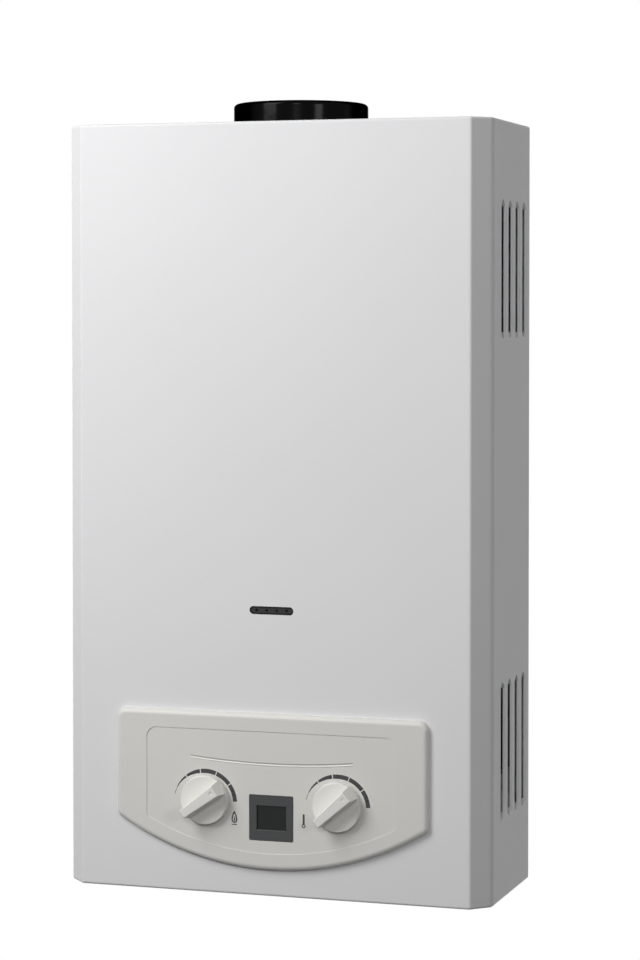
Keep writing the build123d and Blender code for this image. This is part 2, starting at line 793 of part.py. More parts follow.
with BuildPart() as display_bezel:
    with BuildSketch(upright(FACE_Y + BEZEL_T)):
        with Locations((CONTROL_MID_X, up(DISPLAY_H))):
            RectangleRounded(BEZEL_W, BEZEL_H, BEZEL_R)
            Rectangle(SCREEN_W, SCREEN_H, mode=Mode.SUBTRACT)
    extrude(amount=BEZEL_T)
finish(display_bezel, "display_bezel")

with BuildPart() as display_screen:
    with BuildSketch(upright(SCREEN_Y)):
        with Locations((CONTROL_MID_X, up(DISPLAY_H))):
            Rectangle(SCREEN_W + 2 * SCREEN_LAP, SCREEN_H + 2 * SCREEN_LAP)
    extrude(amount=SCREEN_T)
finish(display_screen, "display_screen")

with BuildPart() as display_module:
    with BuildSketch(upright(SCREEN_Y + MODULE_D)):
        with Locations((CONTROL_MID_X, up(DISPLAY_H))):
            RectangleRounded(MODULE_W, MODULE_H, MODULE_R)
    extrude(amount=MODULE_D)
    chamfer(display_module.faces().sort_by(Axis.Y)[-1].edges(), MODULE_R / 2)
finish(display_module, "display_module")


# Knobs and spindles

KNOB_BACK_Y = FACE_Y - KNOB_GAP
BOSS_FRONT_Y = VALVE_Y - SPINDLE_BOSS_L
GRIP_ROOT = SKIRT_T - KNOB_WALL / 2


def control_plane(x, y, pointer):
    """Plane square to a control's axis, with its X along the pointer and its Z to the front."""
    turn = math.radians(pointer)
    return Plane(origin=(x, y, up(KNOB_H)), x_dir=(math.cos(turn), 0, math.sin(turn)), z_dir=(0, -1, 0))


def spindle_section(clearance):
    """Round section with one flat, as on the spindle's tip."""
    radius = SPINDLE_D / 2 + clearance
    flat = SPINDLE_FLAT + clearance
    with BuildSketch() as section:
        Circle(radius)
        with Locations((flat + radius, 0)):
            Rectangle(2 * radius, 2 * radius, mode=Mode.SUBTRACT)
    return section.sketch


def knob(x, pointer):
    """Pointer knob: a shallow skirt under a tapered grip, hollow behind, with a bored hub."""
    back = control_plane(x, KNOB_BACK_Y, pointer)
    along_grip = Plane(origin=back.origin, x_dir=back.x_dir, z_dir=-back.y_dir)
    bore = spindle_section(RUN)
    with BuildPart() as grip:
        with BuildSketch(back.offset(GRIP_ROOT)):
            with BuildLine():
                Polyline(
                    (-GRIP_TAIL, -GRIP_TAIL_W / 2),
                    (GRIP_HEAD, -GRIP_HEAD_W / 2),
                    (GRIP_HEAD, GRIP_HEAD_W / 2),
                    (-GRIP_TAIL, GRIP_TAIL_W / 2),
                    close=True,
                )
            make_face()
        extrude(amount=GRIP_T - GRIP_ROOT, taper=GRIP_TAPER)
        # The pointer's end slopes down to the skirt
        with BuildSketch(along_grip):
            with BuildLine():
                Polyline(
                    (GRIP_CREST, GRIP_T),
                    (GRIP_HEAD, SKIRT_T),
                    (GRIP_HEAD + OVERRUN, SKIRT_T),
                    (GRIP_HEAD + OVERRUN, GRIP_T),
                    close=True,
                )
            make_face()
        extrude(amount=GRIP_HEAD_W, both=True, mode=Mode.SUBTRACT)
        fillet(grip.faces().sort_by(Axis.Y)[0].edges(), GRIP_EDGE_R)
    with BuildPart() as turned:
        with BuildSketch(back):
            Circle(KNOB_R)
        extrude(amount=SKIRT_T, taper=SKIRT_TAPER)
        fillet(turned.edges().group_by(Axis.Y)[0], SKIRT_EDGE_R)
        add(grip.part)
        with BuildSketch(back.offset(GRIP_T - DOT_DEPTH)):
            with Locations((DOT_REACH, 0)):
                Circle(DOT_D / 2)
        extrude(amount=DOT_DEPTH, mode=Mode.SUBTRACT)
        with BuildSketch(back):
            Circle(KNOB_R - 2 * KNOB_WALL)
            Circle(HUB_D / 2, mode=Mode.SUBTRACT)
        extrude(amount=SKIRT_T - KNOB_WALL, mode=Mode.SUBTRACT)
        with BuildSketch(back):
            add(bore)
        extrude(amount=SPINDLE_IN_KNOB, mode=Mode.SUBTRACT)
    return turned.part


def spindle(x, pointer):
    """Valve spindle: round in the body's bore, flatted where the knob pushes on."""
    root = control_plane(x, BOSS_FRONT_Y + SPINDLE_IN_BODY, pointer)
    tip_y = KNOB_BACK_Y - SPINDLE_IN_KNOB + SLIP
    tip = spindle_section(0)
    with BuildPart() as rod:
        with BuildSketch(root):
            Circle(SPINDLE_D / 2)
        extrude(amount=BOSS_FRONT_Y + SPINDLE_IN_BODY - KNOB_BACK_Y - SLIP)
        with BuildSketch(control_plane(x, KNOB_BACK_Y + SLIP, pointer)):
            add(tip)
        extrude(amount=KNOB_BACK_Y + SLIP - tip_y)
    return rod.part


gas_knob_form = knob(GAS_X, GAS_POINTER)
water_knob_form = knob(WATER_X, WATER_POINTER)
gas_spindle_form = spindle(GAS_X, GAS_POINTER)
water_spindle_form = spindle(WATER_X, WATER_POINTER)

with BuildPart() as gas_knob:
    add(gas_knob_form)
finish(gas_knob, "gas_knob")

with BuildPart() as water_knob:
    add(water_knob_form)
finish(water_knob, "water_knob")

with BuildPart() as gas_spindle:
    add(gas_spindle_form)
finish(gas_spindle, "gas_spindle")

with BuildPart() as water_spindle:
    add(water_spindle_form)
finish(water_spindle, "water_spindle")


# Flue collar and draught hood

COLLAR_R = COLLAR_D / 2

with BuildPart() as flue_collar:
    with BuildSketch(upright(FLUE_Y)) as collar_section:
        with BuildLine():
            wall = Line(
                (COLLAR_R - COLLAR_T / 2, up(HOOD_TOP_H)),
                (COLLAR_R - COLLAR_T / 2, up(CASE_H + COLLAR_RISE - COLLAR_ROLL_R)),
            )
            JernArc(wall @ 1, wall % 1, COLLAR_ROLL_R - COLLAR_T / 2, 180)
        trace(line_width=COLLAR_T)
        with Locations((COLLAR_R, up(HOOD_TOP_H))):
            Rectangle(COLLAR_BEAD, COLLAR_BEAD_T, align=(Align.MIN, Align.MIN))
        with Locations((0, up(HOOD_TOP_H))):
            Rectangle(4 * COLLAR_R, COLLAR_T, align=(Align.CENTER, Align.MAX), mode=Mode.SUBTRACT)
    revolve(axis=Axis((0, FLUE_Y, 0), (0, 0, 1)))
finish(flue_collar, "flue_collar")

with BuildSketch() as hood_outline:
    with BuildLine():
        Polyline(
            (-HOOD_HALF, up(SHELL_TOP_H - HOOD_LAP)),
            (-HOOD_HALF, up(SHELL_TOP_H - HOOD_LAP + HOOD_SKIRT_H)),
            (-HOOD_NECK_HALF, up(HOOD_TOP_H - HOOD_NECK_H)),
            (-HOOD_NECK_HALF, up(HOOD_TOP_H)),
            (HOOD_NECK_HALF, up(HOOD_TOP_H)),
            (HOOD_NECK_HALF, up(HOOD_TOP_H - HOOD_NECK_H)),
            (HOOD_HALF, up(SHELL_TOP_H - HOOD_LAP + HOOD_SKIRT_H)),
            (HOOD_HALF, up(SHELL_TOP_H - HOOD_LAP)),
            close=True,
        )
    make_face()
HOOD_REAR_Y = -PAN_SHEET
HOOD_FRONT_Y = INSIDE_Y + HOOD_FRONT_GAP

with BuildPart() as draught_hood:
    with BuildSketch(upright(HOOD_REAR_Y)):
        add(hood_outline.sketch)
    extrude(amount=HOOD_REAR_Y - HOOD_FRONT_Y)
    with BuildSketch(upright(HOOD_REAR_Y - SHEET)):
        add(hood_outline.sketch)
        offset(amount=-SHEET, kind=Kind.INTERSECTION)
    extrude(amount=HOOD_REAR_Y - HOOD_FRONT_Y - 2 * SHEET, mode=Mode.SUBTRACT)
    with BuildSketch(level(SHELL_TOP_H - HOOD_LAP)):
        with Locations((0, FLUE_Y)):
            Rectangle(SHELL_W + 2 * SLIP, SHELL_D + 2 * SLIP)
    extrude(amount=SHEET, mode=Mode.SUBTRACT)
    with BuildSketch(level(HOOD_TOP_H - SHEET)):
        with Locations((0, FLUE_Y)):
            Circle(COLLAR_R - COLLAR_T)
    extrude(amount=SHEET, mode=Mode.SUBTRACT)
finish(draught_hood, "draught_hood")


def thermostat(seat):
    """Snap-disc thermostat standing on a seat plane: rim, body and two terminals."""
    with BuildPart() as sensor:
        with BuildSketch(seat):
            Circle(THERMOSTAT_D / 2)
        extrude(amount=THERMOSTAT_T)
        with BuildSketch(seat):
            Circle(THERMOSTAT_D / 2 + THERMOSTAT_RIM)
        extrude(amount=THERMOSTAT_RIM_T)
        with BuildSketch(seat.offset(THERMOSTAT_T)):
            with GridLocations(THERMOSTAT_D / 2, 0, 2, 1):
                Rectangle(TERMINAL_T, TERMINAL_W)
        extrude(amount=TERMINAL_L)
    return sensor.part


spill_form = thermostat(Plane(origin=(SPILL_X, HOOD_FRONT_Y, up(SPILL_H)), x_dir=(1, 0, 0), z_dir=(0, -1, 0)))

with BuildPart() as spill_thermostat:
    add(spill_form)
finish(spill_thermostat, "spill_thermostat")


# Burner

BLADE_BASE_H = BURNER_FLOOR_H + BURNER_SHEET
BLADE_L = SHELL_D - 2 * BURNER_SHEET - 2 * SLIP
BLADE_FRONT_Y = SHELL_FRONT_Y + BURNER_SHEET + SLIP
BLADE_SPAN = SHELL_W - 2 * BURNER_SHEET - 2 * BLADE_SIDE_ROOM - BLADE_HEAD_T
BLADE_PITCH = BLADE_SPAN / (BLADE_COUNT - 1)
PORT_PITCH = (BLADE_L - 2 * PORT_END_ROOM - PORT_W) / (PORT_COUNT - 1)
MOUTH_H = BLADE_BASE_H + BLADE_MOUTH_H
BLADE_ROOM_H = BLADE_HEAD_H - BLADE_CROWN_R - BLADE_WALL
BLADE_SPACE_H = BLADE_H - BLADE_CROWN_R - BLADE_WALL

with BuildPart() as burner_frame:
    with BuildSketch(level(BURNER_FLOOR_H)):
        with Locations((0, FLUE_Y)):
            Rectangle(SHELL_W, SHELL_D)
    extrude(amount=BURNER_H)
    with BuildSketch(level(BLADE_BASE_H)):
        with Locations((0, FLUE_Y)):
            Rectangle(SHELL_W - 2 * BURNER_SHEET, SHELL_D - 2 * BURNER_SHEET)
    extrude(amount=BURNER_H, mode=Mode.SUBTRACT)
    with BuildSketch(level(BURNER_FLOOR_H)):
        with Locations((0, FLUE_Y)):
            Rectangle(SHELL_W - 2 * BURNER_SHEET, SHELL_D - 2 * BURNER_LEDGE)
    extrude(amount=BURNER_SHEET, mode=Mode.SUBTRACT)
    with BuildSketch(upright(SHELL_FRONT_Y + BURNER_SHEET)):
        with Locations((0, up(MOUTH_H))):
            with GridLocations(BLADE_PITCH, 0, BLADE_COUNT, 1):
                Circle(INJECTOR_D / 2 + INJECTOR_ROOM)
    extrude(amount=BURNER_SHEET, mode=Mode.SUBTRACT)
finish(burner_frame, "burner_frame")

with BuildPart() as blade:
    with BuildSketch(upright(BLADE_FRONT_Y + BLADE_L)):
        with Locations((0, up(BLADE_BASE_H))):
            Rectangle(BLADE_T, BLADE_H, align=(Align.CENTER, Align.MIN))
        with Locations((0, up(BLADE_BASE_H + BLADE_H))):
            Rectangle(BLADE_HEAD_T, BLADE_HEAD_H, align=(Align.CENTER, Align.MAX))
    extrude(amount=BLADE_L)
    chamfer(blade.faces().sort_by(Axis.Z)[-1].edges().filter_by(Axis.Y), BLADE_CROWN_R)
    # Mixing space inside, open at the mouth and through the ports in the crown
    with BuildSketch(upright(BLADE_FRONT_Y + BLADE_L - BLADE_WALL)):
        with Locations((0, up(BLADE_BASE_H + BLADE_WALL))):
            Rectangle(BLADE_T - 2 * BLADE_WALL, BLADE_SPACE_H, align=(Align.CENTER, Align.MIN))
        with Locations((0, up(BLADE_BASE_H + BLADE_H - BLADE_CROWN_R))):
            Rectangle(BLADE_HEAD_T - 2 * BLADE_WALL, BLADE_ROOM_H, align=(Align.CENTER, Align.MAX))
    extrude(amount=BLADE_L - 2 * BLADE_WALL, mode=Mode.SUBTRACT)
    with BuildSketch(level(BLADE_BASE_H + BLADE_H - BLADE_CROWN_R)):
        with Locations((0, FLUE_Y)):
            with GridLocations(0, PORT_PITCH, 1, PORT_COUNT):
                Rectangle(BLADE_HEAD_T - 2 * BLADE_CROWN_R, PORT_W)
    extrude(amount=BLADE_CROWN_R, mode=Mode.SUBTRACT)
    with BuildSketch(upright(BLADE_FRONT_Y + BLADE_WALL)):
        with Locations((0, up(MOUTH_H))):
            Circle(BLADE_MOUTH_D / 2)
    extrude(amount=BLADE_WALL, mode=Mode.SUBTRACT)

with BuildPart() as burner_bars:
    with GridLocations(BLADE_PITCH, 0, BLADE_COUNT, 1):
        add(blade.part)
finish(burner_bars, "burner_bars")

MANIFOLD_BACK_Y = SHELL_FRONT_Y - MANIFOLD_GAP
MANIFOLD_Y = MANIFOLD_BACK_Y - MANIFOLD_D / 2
MANIFOLD_BASE_H = MOUTH_H - MANIFOLD_H / 2
MANIFOLD_L = SHELL_W - 2 * MANIFOLD_END_ROOM
LUG_X = (MANIFOLD_L - MANIFOLD_LUG_W) / 2

with BuildPart() as gas_manifold:
    with BuildSketch(Plane.YZ.offset(-MANIFOLD_L / 2)):
        with Locations((MANIFOLD_Y, up(MOUTH_H))):
            RectangleRounded(MANIFOLD_D, MANIFOLD_H, MANIFOLD_R)
    extrude(amount=MANIFOLD_L)
    with BuildSketch(upright(SHELL_FRONT_Y)):
        with Locations((0, up(MOUTH_H))):
            with GridLocations(2 * LUG_X, 0, 2, 1):
                Rectangle(MANIFOLD_LUG_W, MANIFOLD_LUG_H)
    extrude(amount=MANIFOLD_GAP + MANIFOLD_D / 2)
finish(gas_manifold, "gas_manifold")

with BuildPart() as injectors:
    with BuildSketch(upright(MANIFOLD_BACK_Y + INJECTOR_HEX_T)):
        with Locations((0, up(MOUTH_H))):
            with GridLocations(BLADE_PITCH, 0, BLADE_COUNT, 1):
                RegularPolygon(INJECTOR_HEX / 2, 6, major_radius=False)
    extrude(amount=INJECTOR_HEX_T)
    with BuildSketch(upright(SHELL_FRONT_Y + BURNER_SHEET)):
        with Locations((0, up(MOUTH_H))):
            with GridLocations(BLADE_PITCH, 0, BLADE_COUNT, 1):
                Circle(INJECTOR_D / 2)
    extrude(amount=MANIFOLD_GAP + BURNER_SHEET - INJECTOR_HEX_T)
finish(injectors, "injectors")

gas_riser_form = pipe(
    [
        (GAS_X, VALVE_Y, up(VALVE_OUT_H)),
        (GAS_X, VALVE_Y, up(VALVE_OUT_H + RISER_TURN)),
        (GAS_X, MANIFOLD_Y, up(VALVE_OUT_H + RISER_TURN)),
        (GAS_X, MANIFOLD_Y, up(MANIFOLD_BASE_H)),
    ],
    RISER_BEND,
    RISER_D,
)
with BuildPart() as gas_riser:
    add(gas_riser_form)
finish(gas_riser, "gas_riser")


def stand_off(height, rear_y, front_y):
    """Two Z brackets that carry a box off the back of the pan."""
    with BuildPart() as pair:
        with BuildSketch(level(height)):
            for side in (-1, 1):
                with Locations((side * (BRACKET_X - BRACKET_FOOT / 2), front_y)):
                    Rectangle(BRACKET_FOOT, BRACKET_T, align=(Align.CENTER, Align.MIN))
                with Locations((side * (BRACKET_X + BRACKET_FOOT / 2), rear_y)):
                    Rectangle(BRACKET_FOOT, BRACKET_T, align=(Align.CENTER, Align.MAX))
                with Locations((side * BRACKET_X, front_y)):
                    Rectangle(BRACKET_T, rear_y - front_y, align=(Align.CENTER, Align.MIN))
        extrude(amount=BRACKET_W)
    return pair.part


burner_stand = stand_off(BURNER_FLOOR_H + BURNER_BRACKET_RISE, -PAN_SHEET, SHELL_REAR_Y)
shell_stand = stand_off(SHELL_BASE_H + SHELL_BRACKET_RISE, -PAN_SHEET, SHELL_REAR_Y)

with BuildPart() as burner_brackets:
    add(burner_stand)
finish(burner_brackets, "burner_brackets")

with BuildPart() as exchanger_brackets:
    add(shell_stand)
finish(exchanger_brackets, "exchanger_brackets")


# Heat exchanger: a copper shell, finned tubes in its top and a pipe wound round its middle

FIN_MID_H = SHELL_TOP_H - FIN_DROP - FIN_H / 2
FIN_PITCH = (SHELL_W - 2 * SHELL_T - 2 * FIN_SIDE_ROOM - FIN_T) / (FIN_COUNT - 1)
TUBE_PITCH = SHELL_D / TUBE_COUNT
TUBE_SPAN = TUBE_PITCH * (TUBE_COUNT - 1)
TUBE_REAR_Y = FLUE_Y + TUBE_SPAN / 2
TUBE_FRONT_Y = FLUE_Y - TUBE_SPAN / 2
TUBE_ROW = [TUBE_REAR_Y - index * TUBE_PITCH for index in range(TUBE_COUNT)]
TUBE_PLACES = [(y, up(FIN_MID_H)) for y in TUBE_ROW]
WIRE_H = SHELL_BASE_H + ELECTRODE_RISE
WIRE_PLACES = ((ELECTRODE_X - ELECTRODE_PITCH / 2, WIRE_H), (ELECTRODE_X + ELECTRODE_PITCH / 2, WIRE_H))

with BuildPart() as exchanger_shell:
    with BuildSketch(level(SHELL_BASE_H)):
        with Locations((0, FLUE_Y)):
            Rectangle(SHELL_W, SHELL_D)
            Rectangle(SHELL_W - 2 * SHELL_T, SHELL_D - 2 * SHELL_T, mode=Mode.SUBTRACT)
    extrude(amount=SHELL_H)
    with BuildSketch(Plane.YZ.offset(-SHELL_HALF - OVERRUN)):
        with Locations(*TUBE_PLACES):
            Circle(TUBE_D / 2 + RUN)
    extrude(amount=SHELL_W + 2 * OVERRUN, mode=Mode.SUBTRACT)
    with BuildSketch(upright(SHELL_FRONT_Y + SHELL_T)):
        with Locations((0, up(SIGHT_H))):
            SlotOverall(SIGHT_SLOT_W, SIGHT_SLOT_H)
        with Locations(*seen_from_front(WIRE_PLACES)):
            Circle(INSULATOR_D / 2 + RUN)
    extrude(amount=SHELL_T, mode=Mode.SUBTRACT)
finish(exchanger_shell, "exchanger_shell")

with BuildPart() as exchanger_fins:
    for index in range(FIN_COUNT):
        fin_x = (index - (FIN_COUNT - 1) / 2) * FIN_PITCH
        with BuildSketch(Plane.YZ.offset(fin_x - FIN_T / 2)):
            with Locations((FLUE_Y, up(FIN_MID_H))):
                Rectangle(SHELL_D - 2 * SHELL_T - 2 * RUN, FIN_H)
            with Locations(*TUBE_PLACES):
                Circle(TUBE_D / 2 + RUN, mode=Mode.SUBTRACT)
        extrude(amount=FIN_T)
finish(exchanger_fins, "exchanger_fins")

# The tubes run to and fro through the fins and turn round outside the shell
tube_route = [(-SHELL_HALF, TUBE_REAR_Y, up(FIN_MID_H))]
for index in range(TUBE_COUNT - 1):
    turn_x = (SHELL_HALF + TUBE_OUT) * (1 - 2 * (index % 2))
    tube_route.append((turn_x, TUBE_ROW[index], up(FIN_MID_H)))
    tube_route.append((turn_x, TUBE_ROW[index + 1], up(FIN_MID_H)))
tube_route.append((-SHELL_HALF, TUBE_FRONT_Y, up(FIN_MID_H)))
exchanger_tubes_form = pipe(tube_route, TUBE_PITCH / 2 - RUN, TUBE_D)

with BuildPart() as exchanger_tubes:
    add(exchanger_tubes_form)
finish(exchanger_tubes, "exchanger_tubes")

# The coil climbs from the water valve, winds round the shell and enters the first tube
# It stands clear of the shell, and far enough from the valve's outlet for its two bends
COIL_X = max(SHELL_HALF + COIL_GAP + TUBE_D / 2, WATER_OUTLET_X + 2 * COIL_LINK_BEND + RUN)
COIL_FRONT_Y = SHELL_FRONT_Y - COIL_GAP - TUBE_D / 2
COIL_REAR_Y = SHELL_REAR_Y + COIL_GAP + TUBE_D / 2
COIL_LINK_X = SHELL_HALF + TUBE_OUT
COIL_FOOT_H = VALVE_OUT_H + COIL_LINK_TURN
COIL_CLIMBS = 3 * [COIL_SIDE_RISE, COIL_RISE] + [COIL_SIDE_RISE]
COIL_RISES = [COIL_START_H]
for climb in COIL_CLIMBS:
    COIL_RISES.append(COIL_RISES[-1] + climb)

coil_pipe_form = pipe(
    [
        (WATER_OUTLET_X, VALVE_Y, up(VALVE_OUT_H)),
        (WATER_OUTLET_X, VALVE_Y, up(COIL_FOOT_H)),
        (COIL_X, VALVE_Y, up(COIL_FOOT_H)),
        (COIL_X, VALVE_Y, up(COIL_RISES[0])),
        (COIL_X, COIL_FRONT_Y, up(COIL_RISES[1])),
        (-COIL_X, COIL_FRONT_Y, up(COIL_RISES[2])),
        (-COIL_X, COIL_REAR_Y, up(COIL_RISES[3])),
        (COIL_X, COIL_REAR_Y, up(COIL_RISES[4])),
        (COIL_X, COIL_FRONT_Y, up(COIL_RISES[5])),
        (-COIL_X, COIL_FRONT_Y, up(COIL_RISES[6])),
        (-COIL_X, TUBE_REAR_Y, up(COIL_RISES[7])),
        (-COIL_LINK_X, TUBE_REAR_Y, up(COIL_RISES[7] + COIL_LINK_TURN)),
        (-COIL_LINK_X, TUBE_REAR_Y, up(FIN_MID_H)),
        (-SHELL_HALF, TUBE_REAR_Y, up(FIN_MID_H)),
    ],
    COIL_LINK_BEND,
    TUBE_D,
)
with BuildPart() as coil_pipe:
    add(coil_pipe_form)
finish(coil_pipe, "coil_pipe")

# The first bend of the hot pipe is no wider than its run from the shell
HOT_RUN = -HOT_X - SHELL_HALF

hot_pipe_form = pipe(
    [
        (-SHELL_HALF, TUBE_FRONT_Y, up(FIN_MID_H)),
        (HOT_X, TUBE_FRONT_Y, up(FIN_MID_H)),
        (HOT_X, TUBE_FRONT_Y, up(HOT_TURN_H)),
        (HOT_X, PIPE_Y, up(HOT_TURN_H)),
        (HOT_X, PIPE_Y, up(FITTING_TOP_H)),
    ],
    min(HOT_BEND, HOT_RUN - HOT_LEAD),
    TUBE_D,
)
with BuildPart() as hot_pipe:
    add(hot_pipe_form)
finish(hot_pipe, "hot_pipe")

overheat_seat = Plane(
    origin=(HOT_X - TUBE_D / 2 - RUN, TUBE_FRONT_Y, up(OVERHEAT_H)), x_dir=(0, 0, 1), z_dir=(-1, 0, 0)
)
overheat_form = thermostat(overheat_seat)

with BuildPart() as overheat_thermostat:
    add(overheat_form)
finish(overheat_thermostat, "overheat_thermostat")


# Spark and flame electrodes through the shell's front

INSULATOR_TIP_Y = SHELL_FRONT_Y + INSULATOR_IN
PLATE_FRONT_Y = SHELL_FRONT_Y - ELECTRODE_PLATE_T

with BuildPart() as electrode_plate:
    with BuildSketch(upright(SHELL_FRONT_Y)):
        with Locations((ELECTRODE_X, up(WIRE_H))):
            Rectangle(ELECTRODE_PLATE_W, ELECTRODE_PLATE_H)
        with Locations(*seen_from_front(WIRE_PLACES)):
            Circle(INSULATOR_D / 2 + RUN, mode=Mode.SUBTRACT)
    extrude(amount=ELECTRODE_PLATE_T)
finish(electrode_plate, "electrode_plate")

with BuildPart() as electrode_insulators:
    with BuildSketch(upright(INSULATOR_TIP_Y)):
        with Locations(*seen_from_front(WIRE_PLACES)):
            Circle(INSULATOR_D / 2)
    extrude(amount=INSULATOR_L)
finish(electrode_insulators, "electrode_insulators")


def electrode(place):
    """Bare wire from an insulator's tip, in over the burner."""
    with BuildPart() as wire:
        with BuildSketch(upright(INSULATOR_TIP_Y + ELECTRODE_WIRE_L)):
            with Locations(*seen_from_front([place])):
                Circle(ELECTRODE_WIRE_D / 2)
        extrude(amount=ELECTRODE_WIRE_L)
    return wire.part


spark_form = electrode(WIRE_PLACES[0])
probe_form = electrode(WIRE_PLACES[1])

with BuildPart() as spark_electrode:
    add(spark_form)
finish(spark_electrode, "spark_electrode")

with BuildPart() as flame_probe:
    add(probe_form)
finish(flame_probe, "flame_probe")


# Gas valve


def spindle_bore(x):
    """Bore for a spindle in the front of a valve body."""
    with BuildPart() as bore:
        with BuildSketch(upright(BOSS_FRONT_Y + SPINDLE_IN_BODY + SLIP)):
            with Locations((x, up(KNOB_H))):
                Circle(SPINDLE_D / 2 + RUN)
        extrude(amount=SPINDLE_IN_BODY + SLIP + OVERRUN)
    return bore.part


def spindle_boss(x):
    """Boss round a spindle, from the valve's axis to the front."""
    with BuildPart() as boss:
        with BuildSketch(upright(VALVE_Y)):
            with Locations((x, up(KNOB_H))):
                Circle(SPINDLE_BOSS_D / 2)
        extrude(amount=SPINDLE_BOSS_L)
    return boss.part


gas_barrel = barrel(GAS_X - GAS_LEFT, GAS_END_X, GAS_BARREL_D)
gas_flange = barrel(GAS_X - GAS_LEFT, GAS_X - GAS_LEFT + GAS_FLANGE_T, GAS_FLANGE_D)
gas_neck = post(GAS_X, PIPE_Y, FITTING_TOP_H, KNOB_H, NECK_D)
gas_outlet = post(GAS_X, VALVE_Y, KNOB_H, VALVE_OUT_H, VALVE_OUT_D)
gas_rod_bore = barrel(GAS_END_X - ROD_IN - ROD_TRAVEL - OVERRUN, GAS_END_X + OVERRUN, ROD_D + 2 * RUN)
gas_boss = spindle_boss(GAS_X)
gas_bore = spindle_bore(GAS_X)

with BuildPart() as gas_valve_body:
    add(gas_barrel)
    chamfer(gas_valve_body.edges(), CAST_R)
    add(gas_flange)
    add(gas_neck)
    # Web between the barrel and the inlet neck
    with BuildSketch(level(KNOB_H)):
        with Locations((GAS_X, (VALVE_Y + PIPE_Y) / 2)):
            Rectangle(NECK_D, PIPE_Y - VALVE_Y)
    extrude(amount=-GAS_BARREL_D / 2)
    add(gas_outlet)
    add(gas_boss)
    add(gas_bore, mode=Mode.SUBTRACT)
    add(gas_rod_bore, mode=Mode.SUBTRACT)
finish(gas_valve_body, "gas_valve_body")

SOLENOID_X = GAS_X - GAS_LEFT - SOLENOID_L
solenoid_coil = barrel(SOLENOID_X, GAS_X - GAS_LEFT, SOLENOID_D)
solenoid_nose = barrel(SOLENOID_X - SOLENOID_NOSE_L, SOLENOID_X, SOLENOID_NOSE_D)

with BuildPart() as gas_solenoid:
    add(solenoid_coil)
    chamfer(gas_solenoid.edges().group_by(Axis.X)[0], CAST_R)
    add(solenoid_nose)
finish(gas_solenoid, "gas_solenoid")


# Water valve

water_flange = barrel(WATER_FLANGE_X, WATER_FLANGE_X + WATER_FLANGE_T, CAP_D)
water_barrel = barrel(WATER_FLANGE_X, WATER_X + WATER_RIGHT, WATER_BARREL_D)
water_neck = post(WATER_X, PIPE_Y, FITTING_TOP_H, KNOB_H, NECK_D)
water_outlet = post(WATER_OUTLET_X, VALVE_Y, KNOB_H, VALVE_OUT_H, VALVE_OUT_D)
DRAIN_TOP_H = KNOB_H - WATER_BARREL_D / 2
DRAIN_SEAT_H = DRAIN_TOP_H - DRAIN_BOSS_L
drain_boss = post(DRAIN_PLACE_X, VALVE_Y, DRAIN_SEAT_H, KNOB_H, DRAIN_BOSS_D)
DRAIN_BORE_TOP_H = DRAIN_SEAT_H + DRAIN_SHANK_L + SLIP
drain_bore = post(DRAIN_PLACE_X, VALVE_Y, DRAIN_SEAT_H - OVERRUN, DRAIN_BORE_TOP_H, DRAIN_SHANK_D + 2 * RUN)
water_boss = spindle_boss(WATER_X)
water_bore = spindle_bore(WATER_X)

with BuildPart() as water_valve_body:
    add(water_barrel)
    chamfer(water_valve_body.edges(), CAST_R)
    add(water_flange)
    add(water_neck)
    with BuildSketch(level(KNOB_H)):
        with Locations((WATER_X, (VALVE_Y + PIPE_Y) / 2)):
            Rectangle(NECK_D, PIPE_Y - VALVE_Y)
    extrude(amount=-WATER_BARREL_D / 2)
    add(water_outlet)
    add(drain_boss)
    add(water_boss)
    add(water_bore, mode=Mode.SUBTRACT)
    add(drain_bore, mode=Mode.SUBTRACT)
finish(water_valve_body, "water_valve_body")

diaphragm_form = barrel(WATER_FLANGE_X - DIAPHRAGM_T, WATER_FLANGE_X, CAP_D)

with BuildPart() as valve_diaphragm:
    add(diaphragm_form)
finish(valve_diaphragm, "valve_diaphragm")

cap_disc = barrel(CAP_X, CAP_X + CAP_T, CAP_D)
cap_dome = barrel(CAP_X - CAP_DOME_T, CAP_X, CAP_DOME_D)
cap_nose = barrel(NOSE_X, CAP_X, NOSE_D)
cap_rod_bore = barrel(NOSE_X - OVERRUN, NOSE_X + ROD_IN + SLIP, ROD_D + 2 * RUN)

with BuildPart() as diaphragm_cap:
    add(cap_disc)
    add(cap_dome)
    chamfer(diaphragm_cap.edges().group_by(Axis.X)[0], CAST_R)
    add(cap_nose)
    add(cap_rod_bore, mode=Mode.SUBTRACT)
finish(diaphragm_cap, "diaphragm_cap")

with BuildPart() as cap_screws:
    with BuildSketch(Plane.YZ.offset(CAP_X - CAP_SCREW_T)):
        with Locations((VALVE_Y, up(KNOB_H))):
            with PolarLocations(CAP_SCREW_RING_R, CAP_SCREW_COUNT):
                Circle(CAP_SCREW_D / 2)
    extrude(amount=CAP_SCREW_T)
finish(cap_screws, "cap_screws")

DRAIN_DISC_H = DRAIN_SEAT_H - SLIP

with BuildPart() as drain_cock:
    with BuildSketch(level(DRAIN_DISC_H - DRAIN_DISC_T)):
        with Locations((DRAIN_PLACE_X, VALVE_Y)):
            Circle(DRAIN_BOSS_D / 2)
    extrude(amount=DRAIN_DISC_T)
    with BuildSketch(level(DRAIN_DISC_H)):
        with Locations((DRAIN_PLACE_X, VALVE_Y)):
            Circle(DRAIN_SHANK_D / 2)
    extrude(amount=DRAIN_SHANK_L)
    with BuildSketch(level(DRAIN_DISC_H - DRAIN_DISC_T - DRAIN_WING_T)):
        with Locations((DRAIN_PLACE_X, VALVE_Y)):
            SlotOverall(DRAIN_WING_L, DRAIN_WING_W)
    extrude(amount=DRAIN_WING_T)
finish(drain_cock, "drain_cock")


